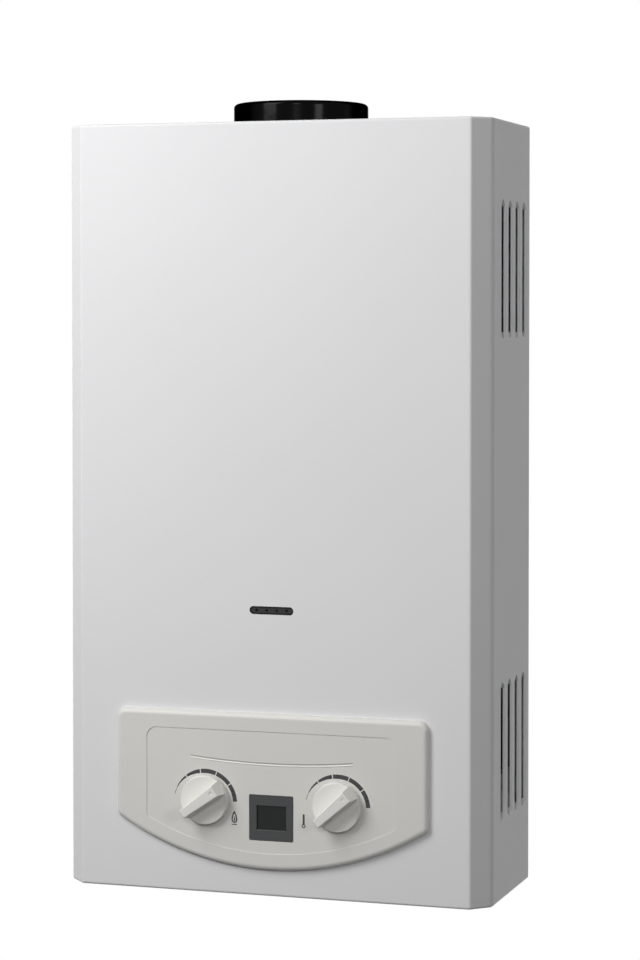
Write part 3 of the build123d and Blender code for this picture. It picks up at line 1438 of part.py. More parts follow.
# Push rod, and the switch that its disc lets go

ROD_DISC_X = LEVER_X - LEVER_T / 2 - SLIP - ROD_DISC_T
rod_form = barrel(GAS_END_X - ROD_IN, NOSE_X + ROD_IN, ROD_D)
rod_disc = barrel(ROD_DISC_X, ROD_DISC_X + ROD_DISC_T, ROD_DISC_D)

with BuildPart() as push_rod:
    add(rod_form)
    add(rod_disc)
finish(push_rod, "push_rod")

LEVER_SIDE_Y = VALVE_Y + LEVER_W / 2
EYE_PLACE = (LEVER_X, up(LEVER_H))

with BuildPart() as microswitch_lever:
    with BuildSketch(upright(LEVER_SIDE_Y)):
        with Locations((LEVER_X, up(LEVER_H))):
            Rectangle(LEVER_T, LEVER_ARM, align=(Align.CENTER, Align.MAX))
            Circle(LEVER_EYE_R)
            Circle(LEVER_PIN_R + RUN, mode=Mode.SUBTRACT)
    extrude(amount=LEVER_W)
finish(microswitch_lever, "microswitch_lever")

SWITCH_BASE_H = LEVER_H + LEVER_EYE_R + SWITCH_ROOM
SWITCH_X = LEVER_X - LEVER_EYE_R
EAR_OUT_Y = LEVER_SIDE_Y + SLIP + SWITCH_EAR_T
EAR_SPAN = LEVER_W + 2 * (SLIP + SWITCH_EAR_T)

with BuildPart() as microswitch:
    with BuildSketch(upright(VALVE_Y + SWITCH_D / 2)):
        with Locations((SWITCH_X, up(SWITCH_BASE_H))):
            Rectangle(SWITCH_W, SWITCH_H, align=(Align.MIN, Align.MIN))
    extrude(amount=SWITCH_D)
    # Two ears under the body carry the lever's pin
    with BuildSketch(upright(EAR_OUT_Y)):
        with Locations(EYE_PLACE):
            Circle(LEVER_EYE_R)
            Rectangle(2 * LEVER_EYE_R, SWITCH_BASE_H - LEVER_H, align=(Align.CENTER, Align.MIN))
    extrude(amount=EAR_SPAN)
    with BuildSketch(upright(LEVER_SIDE_Y + SLIP)):
        with Locations(EYE_PLACE):
            Rectangle(4 * LEVER_EYE_R, 2 * (SWITCH_BASE_H - LEVER_H))
    extrude(amount=LEVER_W + 2 * SLIP, mode=Mode.SUBTRACT)
    with BuildSketch(upright(EAR_OUT_Y)):
        with Locations(EYE_PLACE):
            Circle(LEVER_PIN_R)
    extrude(amount=EAR_SPAN)
finish(microswitch, "microswitch")

SWITCH_TOP_H = SWITCH_BASE_H + SWITCH_H

with BuildPart() as switch_bracket:
    with BuildSketch(upright(VALVE_Y + SWITCH_BRACKET_W / 2)):
        with Locations((SWITCH_X, up(SWITCH_TOP_H))):
            Rectangle(CAP_X - SWITCH_X, SWITCH_BRACKET_T, align=(Align.MIN, Align.MIN))
        with Locations((CAP_X, up(SWITCH_TOP_H + SWITCH_BRACKET_T))):
            Rectangle(SWITCH_BRACKET_T, SWITCH_FOOT, align=(Align.MAX, Align.MAX))
    extrude(amount=SWITCH_BRACKET_W)
finish(switch_bracket, "switch_bracket")


# Pipe fittings through the shelf


def fitting(place):
    """Threaded tail below the shelf, a hexagon against it and a shank up through it."""
    with BuildPart() as tail:
        with BuildSketch(level(PAN_RISE - FITTING_HEX_T)):
            with Locations(place):
                RegularPolygon(FITTING_HEX / 2, 6, major_radius=False)
        extrude(amount=FITTING_HEX_T)
        with BuildSketch(level(PAN_RISE - FITTING_HEX_T - THREAD_L)):
            with Locations(place):
                Circle(THREAD_D / 2)
        extrude(amount=THREAD_L)
        with BuildSketch(level(PAN_RISE)):
            with Locations(place):
                Circle(FITTING_SHANK_D / 2)
        extrude(amount=FITTING_TOP_H - PAN_RISE)
        with BuildSketch(level(PAN_RISE - FITTING_HEX_T - THREAD_L)):
            with Locations(place):
                Circle(FITTING_BORE_D / 2)
        extrude(amount=THREAD_L + FITTING_HEX_T, mode=Mode.SUBTRACT)
    return tail.part


hot_fitting, gas_fitting, cold_fitting = [fitting(place) for place in FITTING_PLACES]

with BuildPart() as hot_outlet:
    add(hot_fitting)
finish(hot_outlet, "hot_outlet")

with BuildPart() as gas_inlet:
    add(gas_fitting)
finish(gas_inlet, "gas_inlet")

with BuildPart() as cold_inlet:
    add(cold_fitting)
finish(cold_inlet, "cold_inlet")

with BuildPart() as fitting_locknuts:
    with BuildSketch(level(SHELF_TOP_H)):
        with Locations(*FITTING_PLACES):
            RegularPolygon(LOCKNUT_HEX / 2, 6, major_radius=False)
            Circle(FITTING_SHANK_D / 2 + RUN, mode=Mode.SUBTRACT)
    extrude(amount=LOCKNUT_T)
finish(fitting_locknuts, "fitting_locknuts")


# Electronics and batteries

CONTROL_X = PAN_HALF - PAN_SHEET - CONTROL_SIDE_GAP - CONTROL_W / 2
CONTROL_Y = -PAN_SHEET - CONTROL_D / 2

with BuildPart() as control_module:
    with BuildSketch(level(CONTROL_BASE_H)):
        with Locations((CONTROL_X, CONTROL_Y)):
            RectangleRounded(CONTROL_W, CONTROL_D, CONTROL_R)
    extrude(amount=CONTROL_H)
    chamfer(control_module.faces().sort_by(Axis.Z)[-1].edges(), CONTROL_R / 2)
    with BuildSketch(level(CONTROL_BASE_H - CONTROL_SOCKET_H)):
        with Locations((CONTROL_X, CONTROL_Y)):
            Rectangle(CONTROL_SOCKET_W, CONTROL_SOCKET_D)
    extrude(amount=CONTROL_SOCKET_H)
finish(control_module, "control_module")

BOX_Y = FRONT_Y + BOX_FRONT_ROOM
CELL_PITCH = BATTERY_D + BATTERY_GAP
BOX_ROOM_W = 2 * BATTERY_D + 3 * BATTERY_GAP
BOX_ROOM_D = BATTERY_D + 2 * BATTERY_GAP
BOX_W = BOX_ROOM_W + 2 * BOX_T
BOX_D = BOX_ROOM_D + 2 * BOX_T
CELL_BASE_H = BOX_FOOT_H + LID_GAP
CELL_TOP_H = CELL_BASE_H + BATTERY_L
CONTACT_H = CELL_TOP_H + BATTERY_NIB_T
BOX_INNER_TOP_H = CONTACT_H + CONTACT_T
BOX_BACK_Y = BOX_Y + BOX_D / 2
HINGE_Y = BOX_BACK_Y + HINGE_BACK
HINGE_H = BOX_FOOT_H - LID_GAP - LID_T / 2
HINGE_PLACE = (HINGE_Y, up(HINGE_H))
EAR_PLACES = [BOX_X + side * HINGE_EAR_X - HINGE_EAR_T / 2 for side in (-1, 1)]
KNUCKLE_L = 2 * HINGE_EAR_X - HINGE_EAR_T - 2 * SLIP
EAR_REACH = HINGE_BACK + HINGE_R + BOX_T / 2

with BuildPart() as battery_box:
    with BuildSketch(level(BOX_FOOT_H)):
        with Locations((BOX_X, BOX_Y)):
            RectangleRounded(BOX_W, BOX_D, BOX_T)
    extrude(amount=BOX_INNER_TOP_H + BOX_T - BOX_FOOT_H)
    with BuildSketch(level(BOX_FOOT_H)):
        with Locations((BOX_X, BOX_Y)):
            Rectangle(BOX_ROOM_W, BOX_ROOM_D)
    extrude(amount=BOX_INNER_TOP_H - BOX_FOOT_H, mode=Mode.SUBTRACT)
    # Tab that rests on the pan's shelf
    with BuildSketch(level(SHELF_TOP_H)):
        with Locations((BOX_X, BOX_BACK_Y - BOX_T)):
            Rectangle(BOX_TAB_W, BOX_TAB_L + BOX_T, align=(Align.CENTER, Align.MIN))
    extrude(amount=BOX_TAB_T)
    # Hinge ears hanging from the back wall
    for ear_x in EAR_PLACES:
        with BuildSketch(Plane.YZ.offset(ear_x)):
            with Locations(HINGE_PLACE):
                Circle(HINGE_R)
                Rectangle(HINGE_R, SHELF_TOP_H - HINGE_H, align=(Align.MIN, Align.MIN))
            with Locations((BOX_BACK_Y - BOX_T / 2, up(SHELF_TOP_H))):
                Rectangle(EAR_REACH, SHELF_TOP_H - BOX_FOOT_H, align=(Align.MIN, Align.MAX))
            with Locations(HINGE_PLACE):
                Circle(HINGE_PIN_R + RUN, mode=Mode.SUBTRACT)
        extrude(amount=HINGE_EAR_T)
finish(battery_box, "battery_box")

with BuildPart() as lid_pin:
    with BuildSketch(Plane.YZ.offset(EAR_PLACES[0])):
        with Locations(HINGE_PLACE):
            Circle(HINGE_PIN_R)
    extrude(amount=EAR_PLACES[1] + HINGE_EAR_T - EAR_PLACES[0])
finish(lid_pin, "lid_pin")

LID_BASE_H = BOX_FOOT_H - LID_GAP - LID_T
LID_FRONT_Y = BOX_Y - BOX_D / 2 + LID_PLAY

with BuildPart() as battery_lid:
    with BuildSketch(level(LID_BASE_H)):
        with Locations((BOX_X, LID_FRONT_Y)):
            Rectangle(BOX_W - 2 * LID_PLAY, BOX_BACK_Y - LID_FRONT_Y, align=(Align.CENTER, Align.MIN))
    extrude(amount=LID_T)
    fillet(battery_lid.edges().filter_by(Axis.Z), BOX_T)
    # Finger ridge under the front edge
    with BuildSketch(level(LID_BASE_H - LID_GRIP_T)):
        with Locations((BOX_X, LID_FRONT_Y + BOX_T)):
            Rectangle(LID_GRIP_W, LID_GRIP_D, align=(Align.CENTER, Align.MIN))
    extrude(amount=LID_GRIP_T)
    # Hinge knuckle between the ears
    with BuildSketch(Plane.YZ.offset(BOX_X - KNUCKLE_L / 2)):
        with Locations(HINGE_PLACE):
            Circle(HINGE_R)
            Rectangle(HINGE_BACK + BOX_T, LID_T, align=(Align.MAX, Align.CENTER))
            Circle(HINGE_PIN_R + RUN, mode=Mode.SUBTRACT)
    extrude(amount=KNUCKLE_L)
finish(battery_lid, "battery_lid")

with BuildPart() as batteries:
    with BuildSketch(level(CELL_BASE_H)):
        with Locations((BOX_X, BOX_Y)):
            with GridLocations(CELL_PITCH, 0, 2, 1):
                Circle(BATTERY_D / 2)
    extrude(amount=BATTERY_L)
    with BuildSketch(level(CELL_TOP_H)):
        with Locations((BOX_X, BOX_Y)):
            with GridLocations(CELL_PITCH, 0, 2, 1):
                Circle(BATTERY_NIB_D / 2)
    extrude(amount=BATTERY_NIB_T)
finish(batteries, "batteries")

with BuildPart() as battery_contacts:
    with BuildSketch(level(CONTACT_H)):
        with Locations((BOX_X, BOX_Y)):
            with GridLocations(CELL_PITCH, 0, 2, 1):
                Rectangle(BATTERY_D / 2, BATTERY_D / 2)
    extrude(amount=CONTACT_T)
finish(battery_contacts, "battery_contacts")
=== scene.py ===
import json
import math

import bmesh
import bpy
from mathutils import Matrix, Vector


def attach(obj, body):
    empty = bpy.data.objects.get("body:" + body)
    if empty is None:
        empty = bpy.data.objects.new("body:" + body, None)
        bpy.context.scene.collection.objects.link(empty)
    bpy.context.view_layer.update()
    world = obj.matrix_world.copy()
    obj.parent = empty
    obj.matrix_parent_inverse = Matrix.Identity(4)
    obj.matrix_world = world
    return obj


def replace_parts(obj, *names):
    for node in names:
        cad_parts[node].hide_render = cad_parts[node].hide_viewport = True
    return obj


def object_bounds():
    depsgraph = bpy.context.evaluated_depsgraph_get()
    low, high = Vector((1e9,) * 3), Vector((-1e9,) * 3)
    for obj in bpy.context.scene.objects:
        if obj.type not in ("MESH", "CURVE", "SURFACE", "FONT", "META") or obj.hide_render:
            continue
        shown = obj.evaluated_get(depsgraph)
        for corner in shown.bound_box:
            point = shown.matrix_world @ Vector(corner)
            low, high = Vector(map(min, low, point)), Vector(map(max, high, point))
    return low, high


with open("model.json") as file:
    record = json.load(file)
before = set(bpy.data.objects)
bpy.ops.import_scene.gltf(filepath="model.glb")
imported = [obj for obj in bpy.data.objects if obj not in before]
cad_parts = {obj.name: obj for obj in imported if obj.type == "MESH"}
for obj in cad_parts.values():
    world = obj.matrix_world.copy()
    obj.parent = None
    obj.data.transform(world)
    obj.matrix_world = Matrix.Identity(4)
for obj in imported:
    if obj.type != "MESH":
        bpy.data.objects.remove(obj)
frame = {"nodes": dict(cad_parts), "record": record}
cad_low, cad_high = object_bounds()
nodes = frame["nodes"]
scene = bpy.context.scene

# Sizes repeated from the part, in metres. A name with HEIGHT is in millimetres above the case bottom
MM = 0.001
CASE_BASE = -545 * MM
FASCIA_FACE_Y = -144.5 * MM
CONTROL_MID_X = 1.3 * MM
GROOVE_HALF = 65.0 * MM
GROOVE_SAG = 3.4 * MM
GROOVE_HEIGHT = 102.2
SIGHT_SLOT_HEIGHT = 218.3
SIGHT_SLOT_R = 3.1 * MM
SIGHT_SLOT_STRAIGHT = 14.5 * MM


def up(height):
    """Z of a height in millimetres above the case bottom."""
    return CASE_BASE + height * MM


# Camera at the photograph's viewing angle

CAMERA_PLACE = Vector((0.681, -2.114, -0.098))
CAMERA_YAW = math.radians(18.02)
CAMERA_PITCH = math.radians(1.5)
LENS_MM = 103.3
SENSOR_MM = 36
LENS_SHIFT = -0.1023
FARTHEST_SEEN = 50

camera_data = bpy.data.cameras.new("camera")
camera_data.lens = LENS_MM
camera_data.sensor_width = SENSOR_MM
camera_data.shift_y = LENS_SHIFT
camera_data.clip_end = FARTHEST_SEEN
camera = bpy.data.objects.new("camera", camera_data)
camera.location = CAMERA_PLACE
sight_line = Vector((
    -math.sin(CAMERA_YAW) * math.cos(CAMERA_PITCH),
    math.cos(CAMERA_YAW) * math.cos(CAMERA_PITCH),
    -math.sin(CAMERA_PITCH),
))
camera.rotation_euler = sight_line.to_track_quat("-Z", "Y").to_euler()
scene.collection.objects.link(camera)
scene.camera = camera
scene.view_settings.view_transform = "Standard"


# Node trees


class Term:
    """One output socket of a node tree. Arithmetic on it adds Math nodes."""

    def __init__(self, maker, socket):
        self.maker = maker
        self.socket = socket

    def math(self, operation, first, second):
        return self.maker.node("ShaderNodeMath", {"operation": operation}, {0: first, 1: second})

    def __add__(self, other):
        return self.math("ADD", self, other)

    def __radd__(self, other):
        return self.math("ADD", other, self)

    def __sub__(self, other):
        return self.math("SUBTRACT", self, other)

    def __rsub__(self, other):
        return self.math("SUBTRACT", other, self)

    def __mul__(self, other):
        return self.math("MULTIPLY", self, other)

    def __rmul__(self, other):
        return self.math("MULTIPLY", other, self)

    def __truediv__(self, other):
        return self.math("DIVIDE", self, other)

    def __rtruediv__(self, other):
        return self.math("DIVIDE", other, self)

    def larger(self, other):
        return self.math("MAXIMUM", self, other)

    def above(self, other):
        return self.math("GREATER_THAN", self, other)


class NodeMaker:
    """Adds nodes to one tree."""

    def __init__(self, tree):
        self.tree = tree

    def node(self, kind, settings=None, sockets=None, output=0):
        """Add a node: its settings first, then the values or links of its sockets."""
        made = self.tree.nodes.new(kind)
        for key, value in (settings or {}).items():
            setattr(made, key, value)
        for key, value in (sockets or {}).items():
            self.put(made.inputs[key], value)
        return Term(self, made.outputs[output])

    def put(self, socket, value):
        """Link a term to a socket, or each of a list of terms, or set a plain value on it."""
        if isinstance(value, list):
            for term in value:
                self.put(socket, term)
        elif isinstance(value, Term):
            self.tree.links.new(value.socket, socket)
        else:
            socket.default_value = value

    def parts(self, vector):
        """X, Y and Z of a vector."""
        return [self.node("ShaderNodeSeparateXYZ", None, {0: vector}, axis) for axis in "XYZ"]

    def seen_share(self):
        """1 for rays that show the surround, straight, in mirrors or through clear pieces, otherwise 0."""
        kinds = ("Camera", "Glossy", "Transmission")
        first, second, third = [self.node("ShaderNodeLightPath", output=f"Is {kind} Ray") for kind in kinds]
        return first.larger(second).larger(third)


# Finishes, kept by name as they are made

FINISHES = {}
MIX_SHARE = 0
MIX_FIRST_COLOUR = 6
MIX_SECOND_COLOUR = 7
MIX_COLOUR_RESULT = 2


class Finish(NodeMaker):
    """A material under construction, with one Principled shader."""

    def __init__(self, name, **constants):
        self.material = bpy.data.materials.new(name)
        self.material.use_nodes = True
        super().__init__(self.material.node_tree)
        self.shader = self.tree.nodes["Principled BSDF"]
        self.set(**constants)
        FINISHES[name] = self.material

    def set(self, **sockets):
        """Set the shader's own sockets, or link what varies over the surface to them."""
        for key, value in sockets.items():
            self.put(self.shader.inputs[key.replace("_", " ")], value)

    def place(self):
        return self.node("ShaderNodeTexCoord", output="Object")

    def stretched(self, scale):
        return self.node("ShaderNodeMapping", None, {"Vector": self.place(), "Scale": scale})

    def noise(self, scale, detail=2.0, roughness=0.5, vector=None):
        sockets = {"Vector": vector or self.place(), "Scale": scale, "Detail": detail, "Roughness": roughness}
        return self.node("ShaderNodeTexNoise", None, sockets)

    def cells(self, scale, output="Distance"):
        return self.node("ShaderNodeTexVoronoi", None, {"Vector": self.place(), "Scale": scale}, output)

    def spread(self, value, low, high):
        """Share that rises from 0 to 1 as a value goes from low to high."""
        return self.node("ShaderNodeMapRange", None, {"Value": value, "From Min": low, "From Max": high})

    def mix(self, share, first, second):
        sockets = {MIX_SHARE: share, MIX_FIRST_COLOUR: first, MIX_SECOND_COLOUR: second}
        return self.node("ShaderNodeMix", {"data_type": "RGBA"}, sockets, MIX_COLOUR_RESULT)

    def bump(self, height, depth):
        return self.node("ShaderNodeBump", None, {"Height": height, "Distance": depth})


def rgb(red, green, blue):
    return (red, green, blue, 1.0)


def grey(level):
    return rgb(level, level, level)


def shade(colour, factor):
    return tuple(min(1.0, part * factor) for part in colour[:3]) + (1.0,)


def varied(value, spread, noise):
    """A value that a noise round 0.5 varies over a spread."""
    return value + spread * (noise - 0.5)


def enamel(name, colour, roughness, peel_depth, mirror, cloud=0.03):
    """Stoved paint: faint clouding, a fine orange peel and a clear coat."""
    finish = Finish(name, Coat_Roughness=0.12, IOR=1.5, Specular_IOR_Level=mirror)
    cloud_share = finish.noise(scale=5.0, detail=3.0)
    uneven = finish.noise(scale=60.0, detail=3.0)
    peel = finish.noise(scale=420.0)
    finish.set(
        Base_Color=finish.mix(cloud_share, shade(colour, 1 - cloud), shade(colour, 1 + cloud)),
        Roughness=varied(roughness, 0.08, uneven),
        Coat_Weight=0.03 + 0.04 * cloud_share,
        Normal=finish.bump(peel, peel_depth),
    )


def moulded(name, colour, roughness, grain_depth, grain=2400.0, cloud=0.025, mirror=0.5, painted_marks=None):
    """Moulded plastic or paint with a fine grain, with painted shade and painted highlights mixed into its
    colour where marks are given.
    """
    finish = Finish(name, IOR=1.46, Specular_IOR_Level=mirror)
    cloud_share = finish.noise(scale=12.0, detail=4.0)
    grit = finish.noise(scale=grain, roughness=0.6)
    tone = finish.mix(cloud_share, shade(colour, 1 - cloud), shade(colour, 1 + cloud))
    # Painted shade and painted highlights: each mark mixes a darker or lighter copy of the colour in over its
    # share
    for share, factor in (painted_marks(finish) if painted_marks else []):
        tone = finish.mix(share, tone, shade(colour, factor))
    finish.set(
        Base_Color=tone,
        Roughness=varied(roughness, 0.12, grit),
        Normal=finish.bump(grit, grain_depth),
    )


# Painted shade on the floor and walls of the groove above the controls, and a painted highlight on the lip
# under it: the band they fall in, and how much they darken or lighten the colour
GROOVE_END_ROOM = 1.0 * MM
GROOVE_LOW_HEIGHT = GROOVE_HEIGHT - 2
GROOVE_TOP_HEIGHT = GROOVE_HEIGHT + 6
SHADE_DEPTH = 0.1 * MM
HIGHLIGHT_RISE = 0.08 * MM
GROOVE_SHADE_FACTOR = 0.6
LIP_HIGHLIGHT_FACTOR = 1.3


def groove_shade_and_highlight(finish):
    """Painted shade in the groove above the controls, and a painted highlight on the lip under it: shares
    with their factors.
    """
    x, y, z = finish.parts(finish.place())
    across = x - CONTROL_MID_X
    near_middle = 1 - (across * across).above((GROOVE_HALF + GROOVE_END_ROOM) ** 2)
    over_bottom = z.above(up(GROOVE_LOW_HEIGHT))
    under_top = 1 - z.above(up(GROOVE_TOP_HEIGHT))
    near_groove = near_middle * (over_bottom * under_top)
    painted_shade = near_groove * y.above(FASCIA_FACE_Y + SHADE_DEPTH)
    painted_highlight = near_groove * (1 - y.above(FASCIA_FACE_Y - HIGHLIGHT_RISE))
    return [(painted_shade, GROOVE_SHADE_FACTOR), (painted_highlight, LIP_HIGHLIGHT_FACTOR)]


# Painted shade on the sight plate: how far across the slot it starts and ends, and how dark it gets at the
# edge
SLOT_SHADE_FROM = 0.12
SLOT_SHADE_TO = 0.75
SLOT_SHADE_FACTOR = 0.1


def slot_edge_shade(finish):
    """Painted shade on the sight plate, darker towards the edge of the slot that it is seen through."""
    x, _, z = finish.parts(finish.place())
    beyond = (x.larger(0 - x) - SIGHT_SLOT_STRAIGHT).larger(0)
    rise = z - up(SIGHT_SLOT_HEIGHT)
    reach = (beyond * beyond + rise * rise) / SIGHT_SLOT_R ** 2
    return [(finish.spread(reach, SLOT_SHADE_FROM, SLOT_SHADE_TO), SLOT_SHADE_FACTOR)]


def spangled(name, light, dark, roughness):
    """Zinc-coated sheet with crystal spangle and rolling lines."""
    finish = Finish(name, Metallic=1.0)
    crystal = finish.cells(scale=120.0, output="Color")
    tone = finish.node("ShaderNodeSeparateColor", None, {0: crystal})
    along = finish.stretched((40.0, 40.0, 1.0))
    rolled = finish.noise(scale=30.0, detail=4.0, roughness=0.6, vector=along)
    finish.set(
        Base_Color=finish.mix(0.5 * tone + 0.5 * rolled, dark, light),
        Roughness=varied(roughness, 0.18, tone),
        Normal=finish.bump(rolled, 0.03 * MM),
    )


def drawn_metal(name, light, dark, roughness, tarnish=None):
    """Drawn or turned metal: cloudy tarnish over fine drawing lines."""
    finish = Finish(name, Metallic=1.0)
    along = finish.stretched((1.0, 1.0, 12.0))
    lines = finish.noise(scale=90.0, detail=4.0, roughness=0.6, vector=along)
    patch = finish.noise(scale=22.0, detail=5.0, roughness=0.6)
    colour = finish.mix(lines, dark, light)
    if tarnish:
        stain = finish.spread(patch, 0.5, 0.75)
        colour = finish.mix(0.55 * stain, colour, tarnish)
    finish.set(
        Base_Color=colour,
        Roughness=varied(varied(roughness, 0.22, patch), 0.1, lines),
        Normal=finish.bump(lines, 0.03 * MM),
    )


def cast_metal(name, light, dark, roughness):
    """Die-cast metal with a sandy skin."""
    finish = Finish(name, Metallic=1.0)
    sand = finish.noise(scale=700.0, detail=3.0, roughness=0.65)
    flow = finish.noise(scale=16.0, detail=4.0)
    finish.set(
        Base_Color=finish.mix(0.5 * sand + 0.5 * flow, dark, light),
        Roughness=varied(roughness, 0.2, sand),
        Normal=finish.bump(sand, 0.12 * MM),
    )


def rippled(name, colour, roughness, uneven, ripple_depth, **constants):
    """Smooth dark surface with soft ripples. The constants say how it reflects."""
    finish = Finish(name, **constants)
    patch = finish.noise(scale=30.0, detail=3.0)
    smear = finish.noise(scale=160.0, detail=3.0)
    ripple = finish.noise(scale=70.0)
    finish.set(
        Base_Color=finish.mix(patch, shade(colour, 0.8), shade(colour, 1.25)),
        Roughness=varied(roughness, uneven, smear),
        Normal=finish.bump(ripple, ripple_depth),
    )


def glossy_plastic(name, colour, roughness, mirror):
    """Polished dark plastic."""
    rippled(
        name, colour, roughness, uneven=0.06, ripple_depth=0.06 * MM,
        IOR=1.5, Specular_IOR_Level=mirror,
    )


def dark_mirror(name, colour, roughness):
    """Black vitreous enamel: an even, weak mirror that stays dark towards its edges."""
    rippled(
        name, colour, roughness, uneven=0.04, ripple_depth=0.14 * MM,
        Metallic=1.0, Specular_Tint=grey(0.0),
    )


def mica_sheet(name, colour):
    """Thin clear sheet with flakes."""
    finish = Finish(name, IOR=1.56, Specular_IOR_Level=0.1)
    flake = finish.cells(scale=180.0)
    finish.set(
        Base_Color=finish.mix(flake, colour, shade(colour, 0.7)),
        Roughness=0.12 + 0.2 * flake,
        Alpha=0.04 + 0.06 * flake,
    )


enamel("white_enamel", rgb(0.80, 0.80, 0.81), roughness=0.34, peel_depth=0.012 * MM, mirror=0.12)
enamel("insulator_ceramic", rgb(0.82, 0.79, 0.72), roughness=0.25, peel_depth=0.01 * MM, mirror=0.5)
# The fascia colour carries painted shade in the groove and a painted highlight on the lip under it
moulded("fascia_plastic", rgb(0.72, 0.71, 0.675), roughness=0.46, grain_depth=0.006 * MM, painted_marks=groove_shade_and_highlight)
moulded("knob_plastic", rgb(0.82, 0.81, 0.77), roughness=0.34, grain_depth=0.003 * MM)
moulded("bezel_plastic", rgb(0.042, 0.043, 0.045), roughness=0.36, grain_depth=0.003 * MM)
# The sight plate colour carries painted shade towards the edge of its slot
moulded(
    "sight_paint", rgb(0.045, 0.045, 0.046), roughness=0.5, grain_depth=0.01 * MM, grain=900.0, mirror=0.1,
    painted_marks=slot_edge_shade,
)
moulded("diaphragm_rubber", grey(0.03), roughness=0.7, grain_depth=0.02 * MM, grain=1200.0)
moulded("black_plastic", rgb(0.035, 0.035, 0.038), roughness=0.48, grain_depth=0.01 * MM, grain=1500.0)
moulded("grey_plastic", rgb(0.34, 0.35, 0.36), roughness=0.5, grain_depth=0.01 * MM, grain=1500.0)
glossy_plastic("screen_plastic", rgb(0.012, 0.013, 0.013), roughness=0.12, mirror=0.2)
glossy_plastic("battery_sleeve", rgb(0.05, 0.06, 0.1), roughness=0.25, mirror=0.4)
dark_mirror("black_enamel", rgb(0.0046, 0.0046, 0.0047), roughness=0.15)
mica_sheet("mica", rgb(0.3, 0.27, 0.22))
spangled("galvanised_steel", rgb(0.72, 0.74, 0.75), rgb(0.46, 0.48, 0.5), roughness=0.42)
cast_metal("cast_aluminium", rgb(0.72, 0.73, 0.74), rgb(0.55, 0.56, 0.57), roughness=0.42)
drawn_metal("plated_steel", rgb(0.78, 0.77, 0.73), rgb(0.6, 0.6, 0.58), roughness=0.28)
drawn_metal(
    "burner_steel", rgb(0.6, 0.6, 0.59), rgb(0.44, 0.44, 0.43), roughness=0.36, tarnish=rgb(0.4, 0.32, 0.26))
drawn_metal(
    "copper", rgb(0.83, 0.42, 0.27), rgb(0.66, 0.3, 0.18), roughness=0.3, tarnish=rgb(0.34, 0.15, 0.1))
drawn_metal(
    "brass", rgb(0.8, 0.6, 0.28), rgb(0.62, 0.44, 0.18), roughness=0.3, tarnish=rgb(0.42, 0.28, 0.12))

for entry in frame["record"]["subparts"]:
    node_mesh = nodes[entry["node"]].data
    node_mesh.materials.clear()
    node_mesh.materials.append(FINISHES[entry["material_slot"]])


# New pieces: shared helpers

WELD_DISTANCE = 0.000001
SMOOTH_BELOW = math.radians(35)


def new_piece(name, mesh, body, slot):
    """Link a finished mesh as a piece that rides on a body."""
    mesh.name = name
    mesh.materials.clear()
    mesh.materials.append(FINISHES[slot])
    piece = bpy.data.objects.new(name, mesh)
    scene.collection.objects.link(piece)
    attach(piece, body)
    return piece


def smoothed(mesh):
    """The same mesh with its flat bends smooth."""
    mesh.shade_smooth()
    mesh.set_sharp_from_angle(angle=SMOOTH_BELOW)
    return mesh


def mesh_of(shape):
    """Plain mesh from a bmesh, welded and with its normals outward."""
    bmesh.ops.remove_doubles(shape, verts=shape.verts, dist=WELD_DISTANCE)
    bmesh.ops.recalc_face_normals(shape, faces=shape.faces)
    mesh = bpy.data.meshes.new("shape")
    shape.to_mesh(mesh)
    shape.free()
    return smoothed(mesh)


def add_skin(shape, rows, ring):
    """Join rows of vertices, each a closed loop, by faces. In a ring the last row also joins the first."""
    following_rows = rows[1:] + rows[:1] if ring else rows[1:]
    for here, following in zip(rows, following_rows):
        for point in range(len(here)):
            after = (point + 1) % len(here)
            shape.faces.new((here[point], here[after], following[after], following[point]))


def around(centre, radius, degrees):
    """Point on a circle, the angle measured from the first axis."""
    angle = math.radians(degrees)
    return (centre[0] + radius * math.cos(angle), centre[1] + radius * math.sin(angle))


# Prints on the fascia: two scales, a flame and a thermometer

PRINT_T = 0.05 * MM
PRINT_FRONT_Y = FASCIA_FACE_Y - PRINT_T
PRINT_BACK_Y = FASCIA_FACE_Y + PRINT_T


def add_print(shape, outline):
    """Add a printed patch to a bmesh. Its outline is a loop of (x, z) points, seen from the front."""
    front = [shape.verts.new((x, PRINT_FRONT_Y, z)) for x, z in outline]
    back = [shape.verts.new((x, PRINT_BACK_Y, z)) for x, z in outline]
    shape.faces.new(front)
    shape.faces.new(list(reversed(back)))
    for here in range(len(outline)):
        following = (here + 1) % len(outline)
        shape.faces.new((front[following], front[here], back[here], back[following]))


def add_print_band(shape, inner, outer, closed):
    """Add a printed band between two lines of (x, z) points, as one short patch for each step."""
    steps = len(inner) if closed else len(inner) - 1
    for here in range(steps):
        following = (here + 1) % len(inner)
        add_print(shape, [inner[here], outer[here], outer[following], inner[following]])


# Angles of the scales, in degrees from the right
SCALE_FROM = 168.0
SCALE_TO = 4.0
SCALE_GAPS = (157.0, 129.0, 100.0, 69.0, 37.0)
SCALE_GAP = 1.8
SCALE_STEP = 1.0
SCALE_GROWTH = 80.0
SCALE_R = 25.7 * MM
SCALE_FULL_W = 3.3 * MM
SCALE_THIN_W = 0.35 * MM
GAS_SCALE_MID = (-51.8 * MM, up(70.1))
WATER_SCALE_MID = (54.4 * MM, up(71.2))


def eased(share):
    """Smooth rise from 0 to 1."""
    held = min(1.0, max(0.0, share))
    return held * held * (3 - 2 * held)


